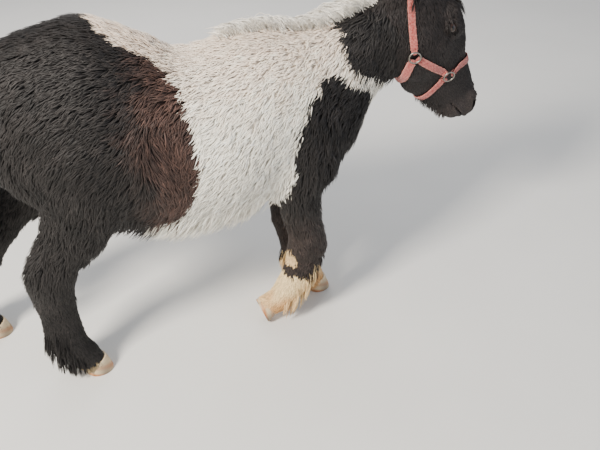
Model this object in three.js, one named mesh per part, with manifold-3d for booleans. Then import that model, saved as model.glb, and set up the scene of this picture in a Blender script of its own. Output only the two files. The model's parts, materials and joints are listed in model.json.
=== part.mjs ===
// A shetland pony in its winter coat, life size, walking: the right fore foot has just tipped on to its toe.
// Millimetres, +X towards the nose, +Y to the pony's left, +Z up, with the hooves on z = 0. The surfaces are
// those of the coat. The pony wears a webbing halter.
import * as THREE from "three";
import { mergeVertices } from "three/addons/utils/BufferGeometryUtils.js";
import Module from "manifold-3d";

const wasm = await Module();
wasm.setup();

const v = (x, y, z) => new THREE.Vector3(x, y, z);
const LEFT = v(0, 1, 0);
const UP = v(0, 0, 1);

// Driving dimensions
const WITHERS_Z = 856;
const BACK_Z = 828;
const CROUP_Z = 946;
const BELLY_Z = 336;
const RUMP_X = -502;
const BARREL_HALF_WIDTH = 228;
const GAP = 0.3;
const BODY_CELL = 41;
const NECK_CELL = 34;
const HEAD_CELL = 17;
const EAR_LONG = 98;
const EYE_RADIUS = 18;
const LID_RADIUS = 4.5;
const HOOF_TOE_HIGH = 46;
const HOOF_HEEL_HIGH = 26;
const WEBBING = 24;
const NARROW_WEBBING = 19;
const STRAP_THICK = 3;
const STRAP_LIFT = 2.6;
const RING_RADIUS = 16;
const RING_WIRE = 2.6;
const RING_LIFT = 10;

// Long hair: length, width and thickness of a lock in each place, and the number of locks
const MANE_LOCK = { long: 210, wide: 70, thick: 12, count: 8, seed: 11 };
const CREST_LOCK = { tall: 58, wide: 76, thick: 12, count: 7, seed: 5 };
const FORELOCK_LOCK = { long: 150, wide: 28, thick: 11, count: 5, seed: 23 };
const TAIL_LOCK = { wide: 80, thick: 24, count: 7, seed: 31 };
const TAIL_SPREAD = { ahead: 30, side: 50, right: -16 };
const FEATHER_LOCK = { long: 104, wide: 50, thick: 11, count: 5, seed: 41 };
const FEATHER_DRIFT = 0.08;
const FRINGE_LOCK = { long: 96, wide: 78, thick: 10, count: 6, seed: 53 };
const BEARD_LOCK = { long: 42, wide: 28, thick: 10, count: 3, seed: 61 };

// Where the body is parted
const HIND_CUT = [[-900, 452], [-480, 446], [-245, 436], [-165, 398], [-165, -60], [-900, -60]];
const FORE_CUT = [[190, -60], [190, 392], [240, 404], [700, 404], [700, -60]];
const HOCK_CUT_Z = 305;
const KNEE_CUT_Z = 222;

const clamp = THREE.MathUtils.clamp;
const lerp = THREE.MathUtils.lerp;
const smooth = THREE.MathUtils.smoothstep;

// A limb is a row of cross-sections along a bent line. A station is its centre, then the half-width to
// each side, the half-depth above (in front, on a leg) and the half-depth below (behind, on a leg).
function limb(stations, { side = LEFT, samples = 40, square = 2, blend = 40 } = {}) {
  const through = (points) => new THREE.CatmullRomCurve3(points, false, "catmullrom", 0.5);
  const centres = through(stations.map((s) => v(...s.slice(0, 3))));
  const sizes = through(stations.map((s) => v(...s.slice(3, 6))));
  const rows = [];
  for (let i = 0; i <= samples; i++) {
    const along = centres.getTangent(i / samples);
    const across = side.clone().addScaledVector(along, -side.dot(along)).normalize();
    const up = along.clone().cross(across);
    rows.push({ at: centres.getPoint(i / samples), along, across, up, size: sizes.getPoint(i / samples) });
  }
  return { rows, square, blend, box: new THREE.Box3().setFromPoints(rows.map((r) => r.at)) };
}

// The row of a limb at share t of its length, between its two nearest rows.
function rowAt(one, t) {
  const place = clamp(t, 0, 1) * (one.rows.length - 1);
  const i = Math.min(Math.floor(place), one.rows.length - 2);
  const mix = (key) => one.rows[i][key].clone().lerp(one.rows[i + 1][key], place - i);
  return {
    at: mix("at"),
    along: mix("along").normalize(),
    across: mix("across").normalize(),
    up: mix("up").normalize(),
    size: mix("size"),
  };
}

// How far a point lies outside one limb, measured from the limb's middle line.
function limbField(one, p) {
  const far = one.box.distanceToPoint(p);
  if (far > 480) return far - 260;
  let best = Infinity;
  let row = 0;
  let share = 0;
  for (let i = 0; i + 1 < one.rows.length; i++) {
    const a = one.rows[i].at;
    const b = one.rows[i + 1].at;
    const [dx, dy, dz] = [b.x - a.x, b.y - a.y, b.z - a.z];
    const [px, py, pz] = [p.x - a.x, p.y - a.y, p.z - a.z];
    const s = Math.min(1, Math.max(0, (px * dx + py * dy + pz * dz) / (dx * dx + dy * dy + dz * dz)));
    const gap = (px - s * dx) ** 2 + (py - s * dy) ** 2 + (pz - s * dz) ** 2;
    if (gap < best) [best, row, share] = [gap, i, s];
  }
  const { at, along, across, up, size } = rowAt(one, (row + share) / (one.rows.length - 1));
  const from = p.clone().sub(at);
  const reach = from.length();
  const cap = Math.min(size.x, size.y, size.z);
  if (reach < 1e-3) return -cap;
  const [a, b, l] = [from.dot(up), from.dot(across), from.dot(along)];
  const depth = a > 0 ? size.y : size.z;
  const n = one.square;
  const k = (Math.abs(a / depth) ** n + Math.abs(b / size.x) ** n + Math.abs(l / cap) ** n) ** (1 / n);
  return reach * (1 - 1 / k);
}

function smoothMin(a, b, k) {
  const h = Math.max(k - Math.abs(a - b), 0) / k;
  return Math.min(a, b) - (h * h * k) / 4;
}

const fieldOf = (limbs) => (p) =>
  limbs.map((one) => [limbField(one, p), one.blend]).reduce(([f], [g, k]) => [smoothMin(f, g, k)])[0];

// Trunk, from the buttocks to the breast
const TRUNK = limb(
  [
    [RUMP_X + 78, 0, 690, 150, CROUP_Z - 760, 152],
    [RUMP_X + 130, 0, 690, 194, CROUP_Z - 716, 190],
    [-285, 0, 670, 226, CROUP_Z - 668, 215],
    [-170, 0, 635, 222, CROUP_Z - 46 - 635, 230],
    [-45, 0, 600, BARREL_HALF_WIDTH, BACK_Z + 10 - 600, 600 - BELLY_Z],
    [85, 0, 600, BARREL_HALF_WIDTH, BACK_Z + 2 - 600, 600 - BELLY_Z - 6],
    [200, 0, 620, 203, WITHERS_Z - 620, 225],
    [300, 0, 622, 168, WITHERS_Z - 25 - 622, 200],
    [392, 0, 612, 132, 165, 160],
  ],
  { blend: 60 },
);

// Neck
const NECK = limb(
  [
    [250, 0, 665, 125, 172, 185],
    [360, 0, 703, 108, 140, 153],
    [450, 0, 742, 92, 116, 142],
    [530, 0, 782, 80, 106, 142],
    [592, 0, 818, 72, 92, 118],
    [648, 0, 866, 60, 64, 88],
  ],
  { blend: 70 },
);

// Head: a place on it is l along the head's line, from the noseband ring towards the lips, up towards the
// forehead, and side to the pony's left.
const HEAD_TILT = THREE.MathUtils.degToRad(28);
const HEAD_TURN = THREE.MathUtils.degToRad(3);
const HEAD_AT = v(769, 0, 686);
const HEAD_SIDE = v(-Math.sin(HEAD_TURN), Math.cos(HEAD_TURN), 0);
const HEAD_AHEAD = v(Math.cos(HEAD_TURN), Math.sin(HEAD_TURN), 0);
const HEAD_LINE = HEAD_AHEAD.clone().multiplyScalar(Math.sin(HEAD_TILT))
  .addScaledVector(UP, -Math.cos(HEAD_TILT));
const HEAD_UP = HEAD_LINE.clone().cross(HEAD_SIDE);
const onHead = (l, up, side = 0) =>
  HEAD_AT.clone().addScaledVector(HEAD_LINE, l).addScaledVector(HEAD_UP, up).addScaledVector(HEAD_SIDE, side);
const headStation = ([l, up, side], sizes) => [...onHead(l, up, side).toArray(), ...sizes];
const SKULL = limb(
  [
    headStation([-268, -12, 0], [56, 70, 88]),
    headStation([-215, -10, 0], [68, 100, 108]),
    headStation([-160, -8, 0], [74, 113, 120]),
    headStation([-105, -8, 0], [74, 120, 126]),
    headStation([-50, -6, 0], [63, 108, 127]),
    headStation([0, -6, 0], [52, 88, 122]),
    headStation([50, -8, 0], [44, 85, 92]),
    headStation([95, -8, 0], [41, 82, 70]),
    headStation([135, -4, 0], [42, 78, 50]),
    headStation([160, 6, 0], [38, 58, 30]),
  ],
  { side: HEAD_SIDE, blend: 25, samples: 48 },
);

// A rounded bump on the head, longer than it is wide
const bump = (from, to, sizes, blend = 25) =>
  limb([headStation(from, sizes), headStation(to, sizes)], { side: HEAD_SIDE, samples: 4, blend });
const pair = (make) => [make(1), make(-1)];
const CHEEKS = pair((s) => bump([-145, -58, 40 * s], [-72, -66, 34 * s], [36, 60, 56], 34));
const BROWS = pair((s) => bump([-160, 72, 46 * s], [-118, 64, 50 * s], [26, 24, 24], 24));
const CRESTS = pair((s) => bump([-112, 8, 54 * s], [-12, 4, 40 * s], [14, 16, 16], 24));
const NOSTRILS = pair((s) => bump([128, 46, 27 * s], [160, 24, 25 * s], [17, 22, 22], 16));
const CHIN = bump([128, -38, 0], [152, -26, 0], [28, 18, 22], 18);
const HEAD = [SKULL, ...CHEEKS, ...BROWS, ...CRESTS, ...NOSTRILS, CHIN];
const headField = fieldOf(HEAD);

// Legs, each down to its coronet
const hindLeg = (stations) => limb(stations, { blend: 55, samples: 60 });
const HIND_RIGHT = hindLeg([
  [-310, -95, 740, 85, 110, 130],
  [-300, -118, 640, 92, 125, 165],
  [-285, -135, 530, 82, 112, 135],
  [-322, -138, 440, 64, 92, 92],
  [-368, -135, 378, 50, 70, 72],
  [-390, -134, 325, 48, 62, 74],
  [-396, -134, 270, 42, 52, 62],
  [-393, -136, 205, 36, 44, 50],
  [-388, -139, 140, 37, 45, 53],
  [-376, -143, 92, 39, 43, 50],
  [-352, -147, 58, 36, 40, 42],
  [-334, -150, 32, 33, 34, 34],
  [-318, -150, 6, 31, 32, 33],
]);
const HIND_LEFT = hindLeg([
  [-310, 95, 740, 85, 110, 130],
  [-318, 118, 640, 92, 125, 160],
  [-345, 133, 530, 82, 112, 125],
  [-415, 132, 446, 62, 88, 86],
  [-480, 128, 388, 50, 66, 64],
  [-520, 124, 340, 48, 60, 60],
  [-550, 121, 288, 42, 50, 52],
  [-588, 119, 208, 36, 42, 48],
  [-618, 117, 142, 37, 44, 50],
  [-622, 116, 96, 39, 43, 50],
  [-605, 115, 60, 36, 40, 42],
  [-588, 114, 34, 33, 34, 34],
  [-572, 114, 8, 31, 32, 33],
]);
const foreLeg = (stations) => limb(stations, { blend: 45, samples: 60 });
const FORE_RIGHT = foreLeg([
  [330, -95, 620, 70, 100, 90],
  [302, -118, 520, 72, 110, 84],
  [286, -126, 440, 58, 74, 74],
  [296, -125, 360, 48, 54, 60],
  [308, -122, 300, 46, 50, 56],
  [314, -118, 250, 48, 54, 60],
  [306, -115, 198, 38, 44, 54],
  [288, -112, 148, 38, 46, 50],
  [258, -110, 104, 38, 42, 42],
  [230, -108, 70, 34, 37, 38],
  [204, -105, 56, 32, 33, 34],
  [178, -104, 45, 31, 32, 33],
]);
const FORE_LEFT = foreLeg([
  [330, 95, 620, 70, 100, 90],
  [305, 118, 520, 72, 110, 84],
  [296, 120, 440, 58, 72, 72],
  [308, 102, 360, 48, 54, 54],
  [318, 82, 300, 46, 50, 54],
  [323, 61, 250, 48, 56, 58],
  [331, 37, 180, 36, 40, 50],
  [340, 19, 118, 39, 42, 52],
  [361, 9, 70, 37, 40, 42],
  [375, 4, 34, 33, 34, 34],
  [391, 3, 8, 31, 32, 33],
]);

// The tail's dock with the hair that covers it
const DOCK = limb([
  [-440, 0, 800, 22, 20, 20],
  [-505, 0, 806, 28, 24, 24],
  [-560, 0, 772, 32, 27, 27],
  [-592, -2, 690, 33, 28, 28],
  [-604, -5, 590, 30, 26, 26],
  [-606, -6, 510, 20, 18, 18],
]);

const bodyField = fieldOf([TRUNK, NECK, HIND_RIGHT, HIND_LEFT, FORE_RIGHT, FORE_LEFT]);

// The distance from a point inside to the surface of a field, in one direction and at most as far as given.
function reachOf(field, from, direction, most) {
  const p = v(0, 0, 0);
  const at = (r) => field(p.copy(from).addScaledVector(direction, r));
  let inside = 0;
  let outside = most;
  for (let r = 0; r < most; ) {
    const f = at(r);
    if (f >= 0) {
      outside = r;
      break;
    }
    inside = r;
    r += Math.max(-f * 0.7, 2);
  }
  if (outside >= most && at(most) < 0) return most;
  for (let i = 0; i < 12; i++) {
    const middle = (inside + outside) / 2;
    if (at(middle) < 0) inside = middle;
    else outside = middle;
  }
  return outside;
}

function slope(field, p, step = 1) {
  const g = v(0, 0, 0);
  for (const axis of ["x", "y", "z"]) {
    const q = p.clone();
    q[axis] += step;
    const ahead = field(q);
    q[axis] -= 2 * step;
    g[axis] = ahead - field(q);
  }
  return g.normalize();
}

// The place on a field's surface, or at a set height over it, that is nearest to a point
function settle(field, from, height = 0) {
  const p = from.clone();
  for (let i = 0; i < 10; i++) p.addScaledVector(slope(field, p), 0.7 * (height - field(p)));
  return p;
}

// A solid of triangles, all turned to face out
function solidFrom(points, faces) {
  const turned = ([a, b, c]) => points[a].dot(points[b].clone().cross(points[c]));
  const outward = faces.reduce((sum, face) => sum + turned(face), 0) > 0;
  return new wasm.Manifold(
    new wasm.Mesh({
      numProp: 3,
      vertProperties: new Float32Array(points.flatMap((p) => [p.x, p.y, p.z])),
      triVerts: new Uint32Array(faces.flatMap(([a, b, c]) => (outward ? [a, b, c] : [a, c, b]))),
    }),
  );
}

// A skin round a limb: rings of points on the field's surface from share t0 to t1 of its length, each end
// rounded by the given number of rings, or flat where there are none.
function skin(one, field, { t0 = 0, t1 = 1, rings = 20, segments = 24, startRings = 0, endRings = 0,
  over = 30, grow = 0, turn = 0 } = {}) {
  const points = [];
  const add = (row, direction) => {
    const most = Math.max(row.size.x, row.size.y, row.size.z) + over;
    points.push(row.at.clone().addScaledVector(direction, reachOf(field, row.at, direction, most) + grow));
  };
  const ring = (row, tilt) => {
    for (let s = 0; s < segments; s++) {
      const angle = (2 * Math.PI * (s + turn)) / segments;
      const out = row.up.clone().multiplyScalar(Math.cos(angle)).addScaledVector(row.across, Math.sin(angle));
      add(row, out.multiplyScalar(Math.cos(tilt)).addScaledVector(row.along, Math.sin(tilt)));
    }
  };
  const first = rowAt(one, t0);
  const last = rowAt(one, t1);
  const quarter = Math.PI / 2;
  for (let i = startRings; i >= 1; i--) ring(first, (-quarter * i) / (startRings + 1));
  for (let i = 0; i < rings; i++) ring(rowAt(one, t0 + ((t1 - t0) * i) / (rings - 1)), 0);
  for (let i = 1; i <= endRings; i++) ring(last, (quarter * i) / (endRings + 1));
  const all = points.length / segments;
  if (startRings) add(first, first.along.clone().negate());
  else points.push(first.at);
  if (endRings) add(last, last.along);
  else points.push(last.at);
  return solidFrom(points, tubeFaces(all, segments));
}

// The faces of a tube of rings whose two end points come last.
function tubeFaces(rings, segments) {
  const faces = [];
  const end = rings * segments;
  for (let s = 0; s < segments; s++) {
    const t = (s + 1) % segments;
    faces.push([end, s, t]);
    for (let i = 0; i + 1 < rings; i++) {
      const [a, b] = [i * segments + s, i * segments + t];
      faces.push([a, b + segments, b], [a, a + segments, b + segments]);
    }
    faces.push([end + 1, (rings - 1) * segments + t, (rings - 1) * segments + s]);
  }
  return faces;
}

// A closed solid through rings of points, with a flat end or a tip
function loft(rings, tip) {
  const middle = (ring) => ring.reduce((sum, p) => sum.add(p), v(0, 0, 0)).divideScalar(ring.length);
  const points = [...rings.flat(), middle(rings[0]), tip ?? middle(rings.at(-1))];
  return solidFrom(points, tubeFaces(rings.length, rings[0].length));
}

// A round bar along a line of points, with its own radius at each
function bar(points, radiusAt, toward, sides = 6) {
  const last = points.length - 1;
  const rings = points.map((p, i) => {
    const along = points[Math.min(i + 1, last)].clone().sub(points[Math.max(i - 1, 0)]).normalize();
    const a = toward.clone().projectOnPlane(along).normalize();
    const b = along.clone().cross(a);
    return Array.from({ length: sides }, (_, k) => {
      const turn = (2 * Math.PI * k) / sides;
      return p.clone()
        .addScaledVector(a, radiusAt(i / last) * Math.cos(turn))
        .addScaledVector(b, radiusAt(i / last) * Math.sin(turn));
    });
  });
  return loft(rings);
}

// Draws between two numbers, the same on every run
function draws(seed) {
  let state = seed * 7919;
  return (low, high) => {
    state = (state * 48271) % 2147483647;
    return lerp(low, high, state / 2147483647);
  };
}

// A flat, tapered lock of hair along a line of points, the last of which is its tip; outs are the directions
// that its flat side faces.
function ribbon(points, outs, wide, thick) {
  const last = points.length - 1;
  const rings = points.slice(0, last).map((p, i) => {
    const along = points[i + 1].clone().sub(points[Math.max(i - 1, 0)]).normalize();
    const out = outs[i].clone().projectOnPlane(along).normalize();
    const side = along.clone().cross(out);
    const share = i / last;
    const width = (wide / 2) * (1 - share ** 2.2) * (0.8 + 0.6 * share);
    const depth = (thick / 2) * (1 - 0.45 * share);
    return [[width, 0], [0, depth], [-width, 0], [0, -depth]].map(([w, d]) =>
      p.clone().addScaledVector(side, w).addScaledVector(out, d),
    );
  });
  return loft(rings, points[last]);
}

// A lock that grows from a surface and lies over it, at a set height at each of its steps; it turns towards
// the ground by the droop.
function lockOn(field, root, lie, { long, wide, thick }, heights, droop = 0, sink = 10) {
  let at = settle(field, root);
  let out = slope(field, at);
  let way = lie.clone().projectOnPlane(out).normalize();
  const points = [at.clone().addScaledVector(out, -sink).addScaledVector(way, -0.5 * sink)];
  const outs = [out];
  for (const height of heights) {
    at = settle(field, at.clone().addScaledVector(way, long / heights.length), height);
    out = slope(field, at);
    way = way.clone().addScaledVector(UP, -droop).projectOnPlane(out).normalize();
    points.push(at);
    outs.push(out);
  }
  return ribbon(points, outs, wide, thick);
}

const joined = (solids) => solids.reduce((a, b) => a.add(b));

// A skin made on a grid of cells: one point in each cell that the surface crosses, moved on to the surface
// and out by a little where asked, and one face across each grid edge that it crosses.
function gridSkin(field, low, high, cell, grow = 0) {
  const count = ["x", "y", "z"].map((a) => Math.ceil((high[a] - low[a]) / cell) + 1);
  const [nx, ny, nz] = count;
  const id = (i, j, k) => (k * ny + j) * nx + i;
  const place = (i, j, k) => v(low.x + i * cell, low.y + j * cell, low.z + k * cell);
  const values = new Float64Array(nx * ny * nz);
  for (let k = 0; k < nz; k++)
    for (let j = 0; j < ny; j++)
      for (let i = 0; i < nx; i++) values[id(i, j, k)] = field(place(i, j, k)) || 1e-6;
  const corners = [0, 1, 2, 3, 4, 5, 6, 7].map((c) => [c & 1, (c >> 1) & 1, (c >> 2) & 1]);
  const edges = [];
  for (let a = 0; a < 8; a++)
    for (const bit of [1, 2, 4]) if (!(a & bit)) edges.push([a, a | bit]);
  const points = [];
  const inCell = new Map();
  for (let k = 0; k + 1 < nz; k++)
    for (let j = 0; j + 1 < ny; j++)
      for (let i = 0; i + 1 < nx; i++) {
        const f = corners.map(([a, b, c]) => values[id(i + a, j + b, k + c)]);
        const sum = v(0, 0, 0);
        let crossings = 0;
        for (const [a, b] of edges) {
          if (f[a] < 0 === f[b] < 0) continue;
          const from = place(i + corners[a][0], j + corners[a][1], k + corners[a][2]);
          const to = place(i + corners[b][0], j + corners[b][1], k + corners[b][2]);
          sum.add(from.lerp(to, f[a] / (f[a] - f[b])));
          crossings++;
        }
        if (!crossings) continue;
        const p = sum.divideScalar(crossings);
        for (let s = 0; s < 3; s++) {
          const off = clamp(field(p), -0.3 * cell, 0.3 * cell);
          p.addScaledVector(slope(field, p), -off);
        }
        p.addScaledVector(slope(field, p), grow);
        inCell.set(id(i, j, k), points.length);
        points.push(p);
      }
  const faces = [];
  const steps = [[1, 0, 0], [0, 1, 0], [0, 0, 1]];
  for (let k = 1; k + 1 < nz; k++)
    for (let j = 1; j + 1 < ny; j++)
      for (let i = 1; i + 1 < nx; i++)
        steps.forEach(([a, b, c], axis) => {
          const here = values[id(i, j, k)] < 0;
          if (here === values[id(i + a, j + b, k + c)] < 0) return;
          const [u, w] = [steps[(axis + 1) % 3], steps[(axis + 2) % 3]];
          const cellAt = (s, t) =>
            inCell.get(id(i - s * u[0] - t * w[0], j - s * u[1] - t * w[1], k - s * u[2] - t * w[2]));
          const quad = [cellAt(0, 0), cellAt(1, 0), cellAt(1, 1), cellAt(0, 1)];
          if (!here) quad.reverse();
          const [p, q, r, s] = quad.map((n) => points[n]);
          const [a0, a1, a2, a3] = quad;
          if (p.distanceTo(r) < q.distanceTo(s)) faces.push([a0, a1, a2], [a0, a2, a3]);
          else faces.push([a0, a1, a3], [a1, a2, a3]);
        });
  return solidFrom(points, faces);
}

function solidOf(geometry) {
  geometry.deleteAttribute("normal");
  geometry.deleteAttribute("uv");
  const merged = mergeVertices(geometry, 1e-3);
  const at = merged.getAttribute("position");
  const points = Array.from({ length: at.count }, (_, i) => v(at.getX(i), at.getY(i), at.getZ(i)));
  const index = merged.getIndex().array;
  const faces = Array.from({ length: index.length / 3 }, (_, i) => [...index.slice(3 * i, 3 * i + 3)]);
  return solidFrom(points, faces.filter(([a, b, c]) => a !== b && b !== c && c !== a));
}

// A shape moved to a place and turned, with its own X and Y along the two directions given.
function placed(geometry, at, x, y) {
  geometry.applyMatrix4(new THREE.Matrix4().makeBasis(x, y, x.clone().cross(y)).setPosition(at));
  return solidOf(geometry);
}

// All space on the far side of a plane, as a large block standing on it.
function beyond(point, normal, { size = 3000, shift = 0 } = {}) {
  const block = new THREE.BoxGeometry(size, size, size);
  block.translate(0, 0, size / 2 + shift);
  block.applyQuaternion(new THREE.Quaternion().setFromUnitVectors(UP, normal.clone().normalize()));
  block.translate(point.x, point.y, point.z);
  return solidOf(block);
}

// A block across the whole pony, with an outline given in x and z.
function acrossBlock(outline, drop = 0) {
  const shape = new THREE.Shape(outline.map(([x, z]) => new THREE.Vector2(x, z - drop)));
  const block = new THREE.ExtrudeGeometry(shape, { depth: 800, bevelEnabled: false, curveSegments: 1 });
  block.translate(0, 0, -400);
  block.rotateX(Math.PI / 2);
  return solidOf(block);
}

function blockOf(low, high) {
  const size = high.clone().sub(low);
  const block = new THREE.BoxGeometry(size.x, size.y, size.z);
  block.translate((low.x + high.x) / 2, (low.y + high.y) / 2, (low.z + high.z) / 2);
  return solidOf(block);
}

const largest = (solid) =>
  solid.decompose().reduce((a, b) => (a.getMesh().triVerts.length > b.getMesh().triVerts.length ? a : b));

const materials = {};
function paint(name, color, roughness = 0.9, metalness = 0) {
  materials[name] = new THREE.MeshStandardMaterial({ name, color, roughness, metalness });
}
paint("black_coat", 0x2a2425);
paint("white_coat", 0xe9dfd2);
paint("hoof_horn", 0xb9a377, 0.6);
paint("eye", 0x120d0b, 0.1);
paint("webbing", 0xc85a50, 0.85);
paint("ring_metal", 0xb8b8b4, 0.3, 1);

const body = new THREE.Group();

function addNode(name, solid, material) {
  const { vertProperties, triVerts } = largest(solid).getMesh();
  const geometry = new THREE.BufferGeometry();
  geometry.setAttribute("position", new THREE.BufferAttribute(new Float32Array(vertProperties), 3));
  geometry.setIndex([...triVerts]);
  const mesh = new THREE.Mesh(geometry, materials[material]);
  mesh.name = name;
  body.add(mesh);
}

// The trunk with the tops of the legs and the root of the neck, parted from them by flat cuts
const NECK_CUT = { at: v(275, 0, 855), normal: v(0.83, 0, 0.55) };
const neckSide = (p) => p.clone().sub(NECK_CUT.at).dot(NECK_CUT.normal.clone().normalize());
const trunkField = (p) => Math.max(bodyField(p), BELLY_Z - 12 - p.z, neckSide(p) - 2 * BODY_CELL);
const trunkSkin = (grow) => gridSkin(trunkField, v(-640, -304.5, 280), v(620, 300, 990), BODY_CELL, grow);
const CREST_FROM = v(196, 0, 900);
const CREST_TO = v(560, 0, 978);
const crestAt = (share) => settle(bodyField, CREST_FROM.clone().lerp(CREST_TO, share));
function maneLocks() {
  const draw = draws(MANE_LOCK.seed);
  const locks = [];
  for (let i = 0; i < MANE_LOCK.count; i++) {
    const share = (i + 0.5) / MANE_LOCK.count;
    const long = MANE_LOCK.long * (0.5 + 0.5 * smooth(share, 0, 0.35)) * draw(0.85, 1.1);
    const size = { ...MANE_LOCK, long };
    const lie = v(draw(-0.5, -0.2) - 0.3 * share, 1, 0.1);
    const root = crestAt(share).add(v(0, draw(-10, 0), 0));
    const heights = [30, 36, 24, draw(10, 20)].map((high) => high * (0.7 + 0.3 * share));
    locks.push(lockOn(bodyField, root, lie, size, heights, 0.3));
  }
  return locks;
}
function crestLocks() {
  const draw = draws(CREST_LOCK.seed);
  const locks = [];
  for (let i = 0; i < CREST_LOCK.count; i++) {
    const share = (i + 0.6) / CREST_LOCK.count;
    const root = crestAt(share * 0.97).add(v(0, draw(-16, -8), 0));
    const tall = CREST_LOCK.tall * (0.55 + 0.45 * share) * draw(0.85, 1.15);
    const back = draw(-26, -10);
    const rise = [[0, 0, -12], [0.1, 3, 0.5 * tall], [0.4, 16, 0.9 * tall]];
    const arc = [...rise, [0.75, 44, tall], [1, 78, 0.72 * tall]];
    const points = arc.map(([share, left, up]) => root.clone().add(v(back * share, left, up)));
    const outs = [v(0, -1, 0), v(0, -1, 0.2), v(0, -0.7, 0.7), v(0, 0, 1), v(0, 0.4, 1)];
    locks.push(ribbon(points, outs, CREST_LOCK.wide, CREST_LOCK.thick));
  }
  return locks;
}
const mane = joined([...maneLocks(), ...crestLocks()]);
function fringeLocks() {
  const draw = draws(FRINGE_LOCK.seed);
  const locks = [];
  for (let i = 0; i < FRINGE_LOCK.count; i++) {
    const side = i % 2 ? 1 : -1;
    const x = lerp(-130, 165, (i + 0.5) / FRINGE_LOCK.count);
    const root = v(x, side * draw(40, 115), BELLY_Z + 10);
    const lie = v(-1, side * draw(-0.5, 0.1), 0);
    locks.push(lockOn(trunkField, root, lie, FRINGE_LOCK, [6, 9, draw(9, 18)]));
  }
  return locks;
}
const torso = trunkSkin(0)
  .add(mane)
  .add(joined(fringeLocks()))
  .subtract(acrossBlock(HIND_CUT))
  .subtract(acrossBlock(FORE_CUT))
  .subtract(beyond(NECK_CUT.at, NECK_CUT.normal));
addNode("torso", torso, "white_coat");

// Neck and head, parted behind the ears and the jaw
const HEAD_CUT = { at: onHead(-306, 60), normal: onHead(-75, -175).sub(onHead(-306, 60)).cross(HEAD_SIDE) };
const headBox = new THREE.Box3().setFromPoints(SKULL.rows.map((r) => r.at)).expandByScalar(190);
const headSkin = (grow) => gridSkin(headField, headBox.min, headBox.max, HEAD_CELL, grow);
const neckField = (p) => Math.max(bodyField(p), -neckSide(p) - 2 * NECK_CELL);
const neckSkin = (grow) => gridSkin(neckField, v(167, -280, 400), v(800, 280, 1060), NECK_CELL, grow);
const headAndNeck = neckSkin(0).add(headSkin(0));
const headAndNeckGrown = neckSkin(GAP).add(headSkin(1.5 * GAP));
const neck = headAndNeck
  .add(mane)
  .subtract(beyond(HEAD_CUT.at, HEAD_CUT.normal))
  .subtract(beyond(NECK_CUT.at, NECK_CUT.normal.clone().negate(), { shift: -GAP }));
addNode("neck", neck, "white_coat");

// Eyes, each with its lids
const EYE_AT = [-131, 42];
const EYE_SUNK = 9;
const LID_HALF_LONG = 18;
const LID_RISE = { upper: 11, lower: -9 };
function eyeOf(side) {
  const surface = settle(headField, onHead(...EYE_AT, 80 * side));
  const out = slope(headField, surface);
  const centre = surface.clone().addScaledVector(out, -EYE_SUNK);
  const along = HEAD_LINE.clone().addScaledVector(HEAD_UP, -0.25).projectOnPlane(out).normalize();
  const up = HEAD_UP.clone().projectOnPlane(out).projectOnPlane(along).normalize();
  const lid = (rise) => {
    const line = Array.from({ length: 8 }, (_, i) => {
      const turn = (Math.PI * i) / 7;
      const flat = v(0, 0, 0)
        .addScaledVector(along, -LID_HALF_LONG * Math.cos(turn))
        .addScaledVector(up, rise * Math.sin(turn));
      const lift = Math.sqrt(Math.max((EYE_RADIUS + 1) ** 2 - flat.lengthSq(), 36));
      return flat.add(centre).addScaledVector(out, lift);
    });
    return bar(line, (t) => LID_RADIUS * (0.45 + 0.55 * Math.sin(Math.PI * t)), out, 5);
  };
  const ball = (radius) => placed(new THREE.SphereGeometry(radius, 12, 7), centre, along, out);
  return { ball, lids: lid(LID_RISE.upper).add(lid(LID_RISE.lower)) };
}
const EYES = { left: eyeOf(1), right: eyeOf(-1) };

// Mouth and nostrils
const MOUTH_CORNER = onHead(104, -30);
const MOUTH_FRONT = onHead(196, -2);
const MOUTH_GAP = 2.6;
const mouthAlong = MOUTH_FRONT.clone().sub(MOUTH_CORNER).normalize();
const mouthShape = new THREE.BoxGeometry(130, 150, MOUTH_GAP).translate(65, 0, 0);
const mouthBlade = placed(mouthShape, MOUTH_CORNER, mouthAlong, HEAD_SIDE);
const lipsInside = skin(SKULL, headField, { rings: 7, segments: 14, t0: 0.74, t1: 1, endRings: 2, grow: -7 });
const mouth = mouthBlade.subtract(lipsInside);
const nostril = (side) => {
  const surface = settle(headField, onHead(152, 36, 60 * side));
  const out = slope(headField, surface);
  const along = HEAD_LINE.clone().addScaledVector(HEAD_UP, -0.5).projectOnPlane(out).normalize();
  const hollow = new THREE.SphereGeometry(1, 9, 6).scale(12.2, 9.6, 6.4);
  const rim = new THREE.TorusGeometry(1, 0.3, 4, 11).rotateX(Math.PI / 2).scale(14.6, 8, 9);
  return {
    hollow: placed(hollow, surface, along, out),
    rim: placed(rim, surface.clone().addScaledVector(out, -1), along, out),
  };
};
const NOSES = [nostril(1), nostril(-1)];

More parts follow.
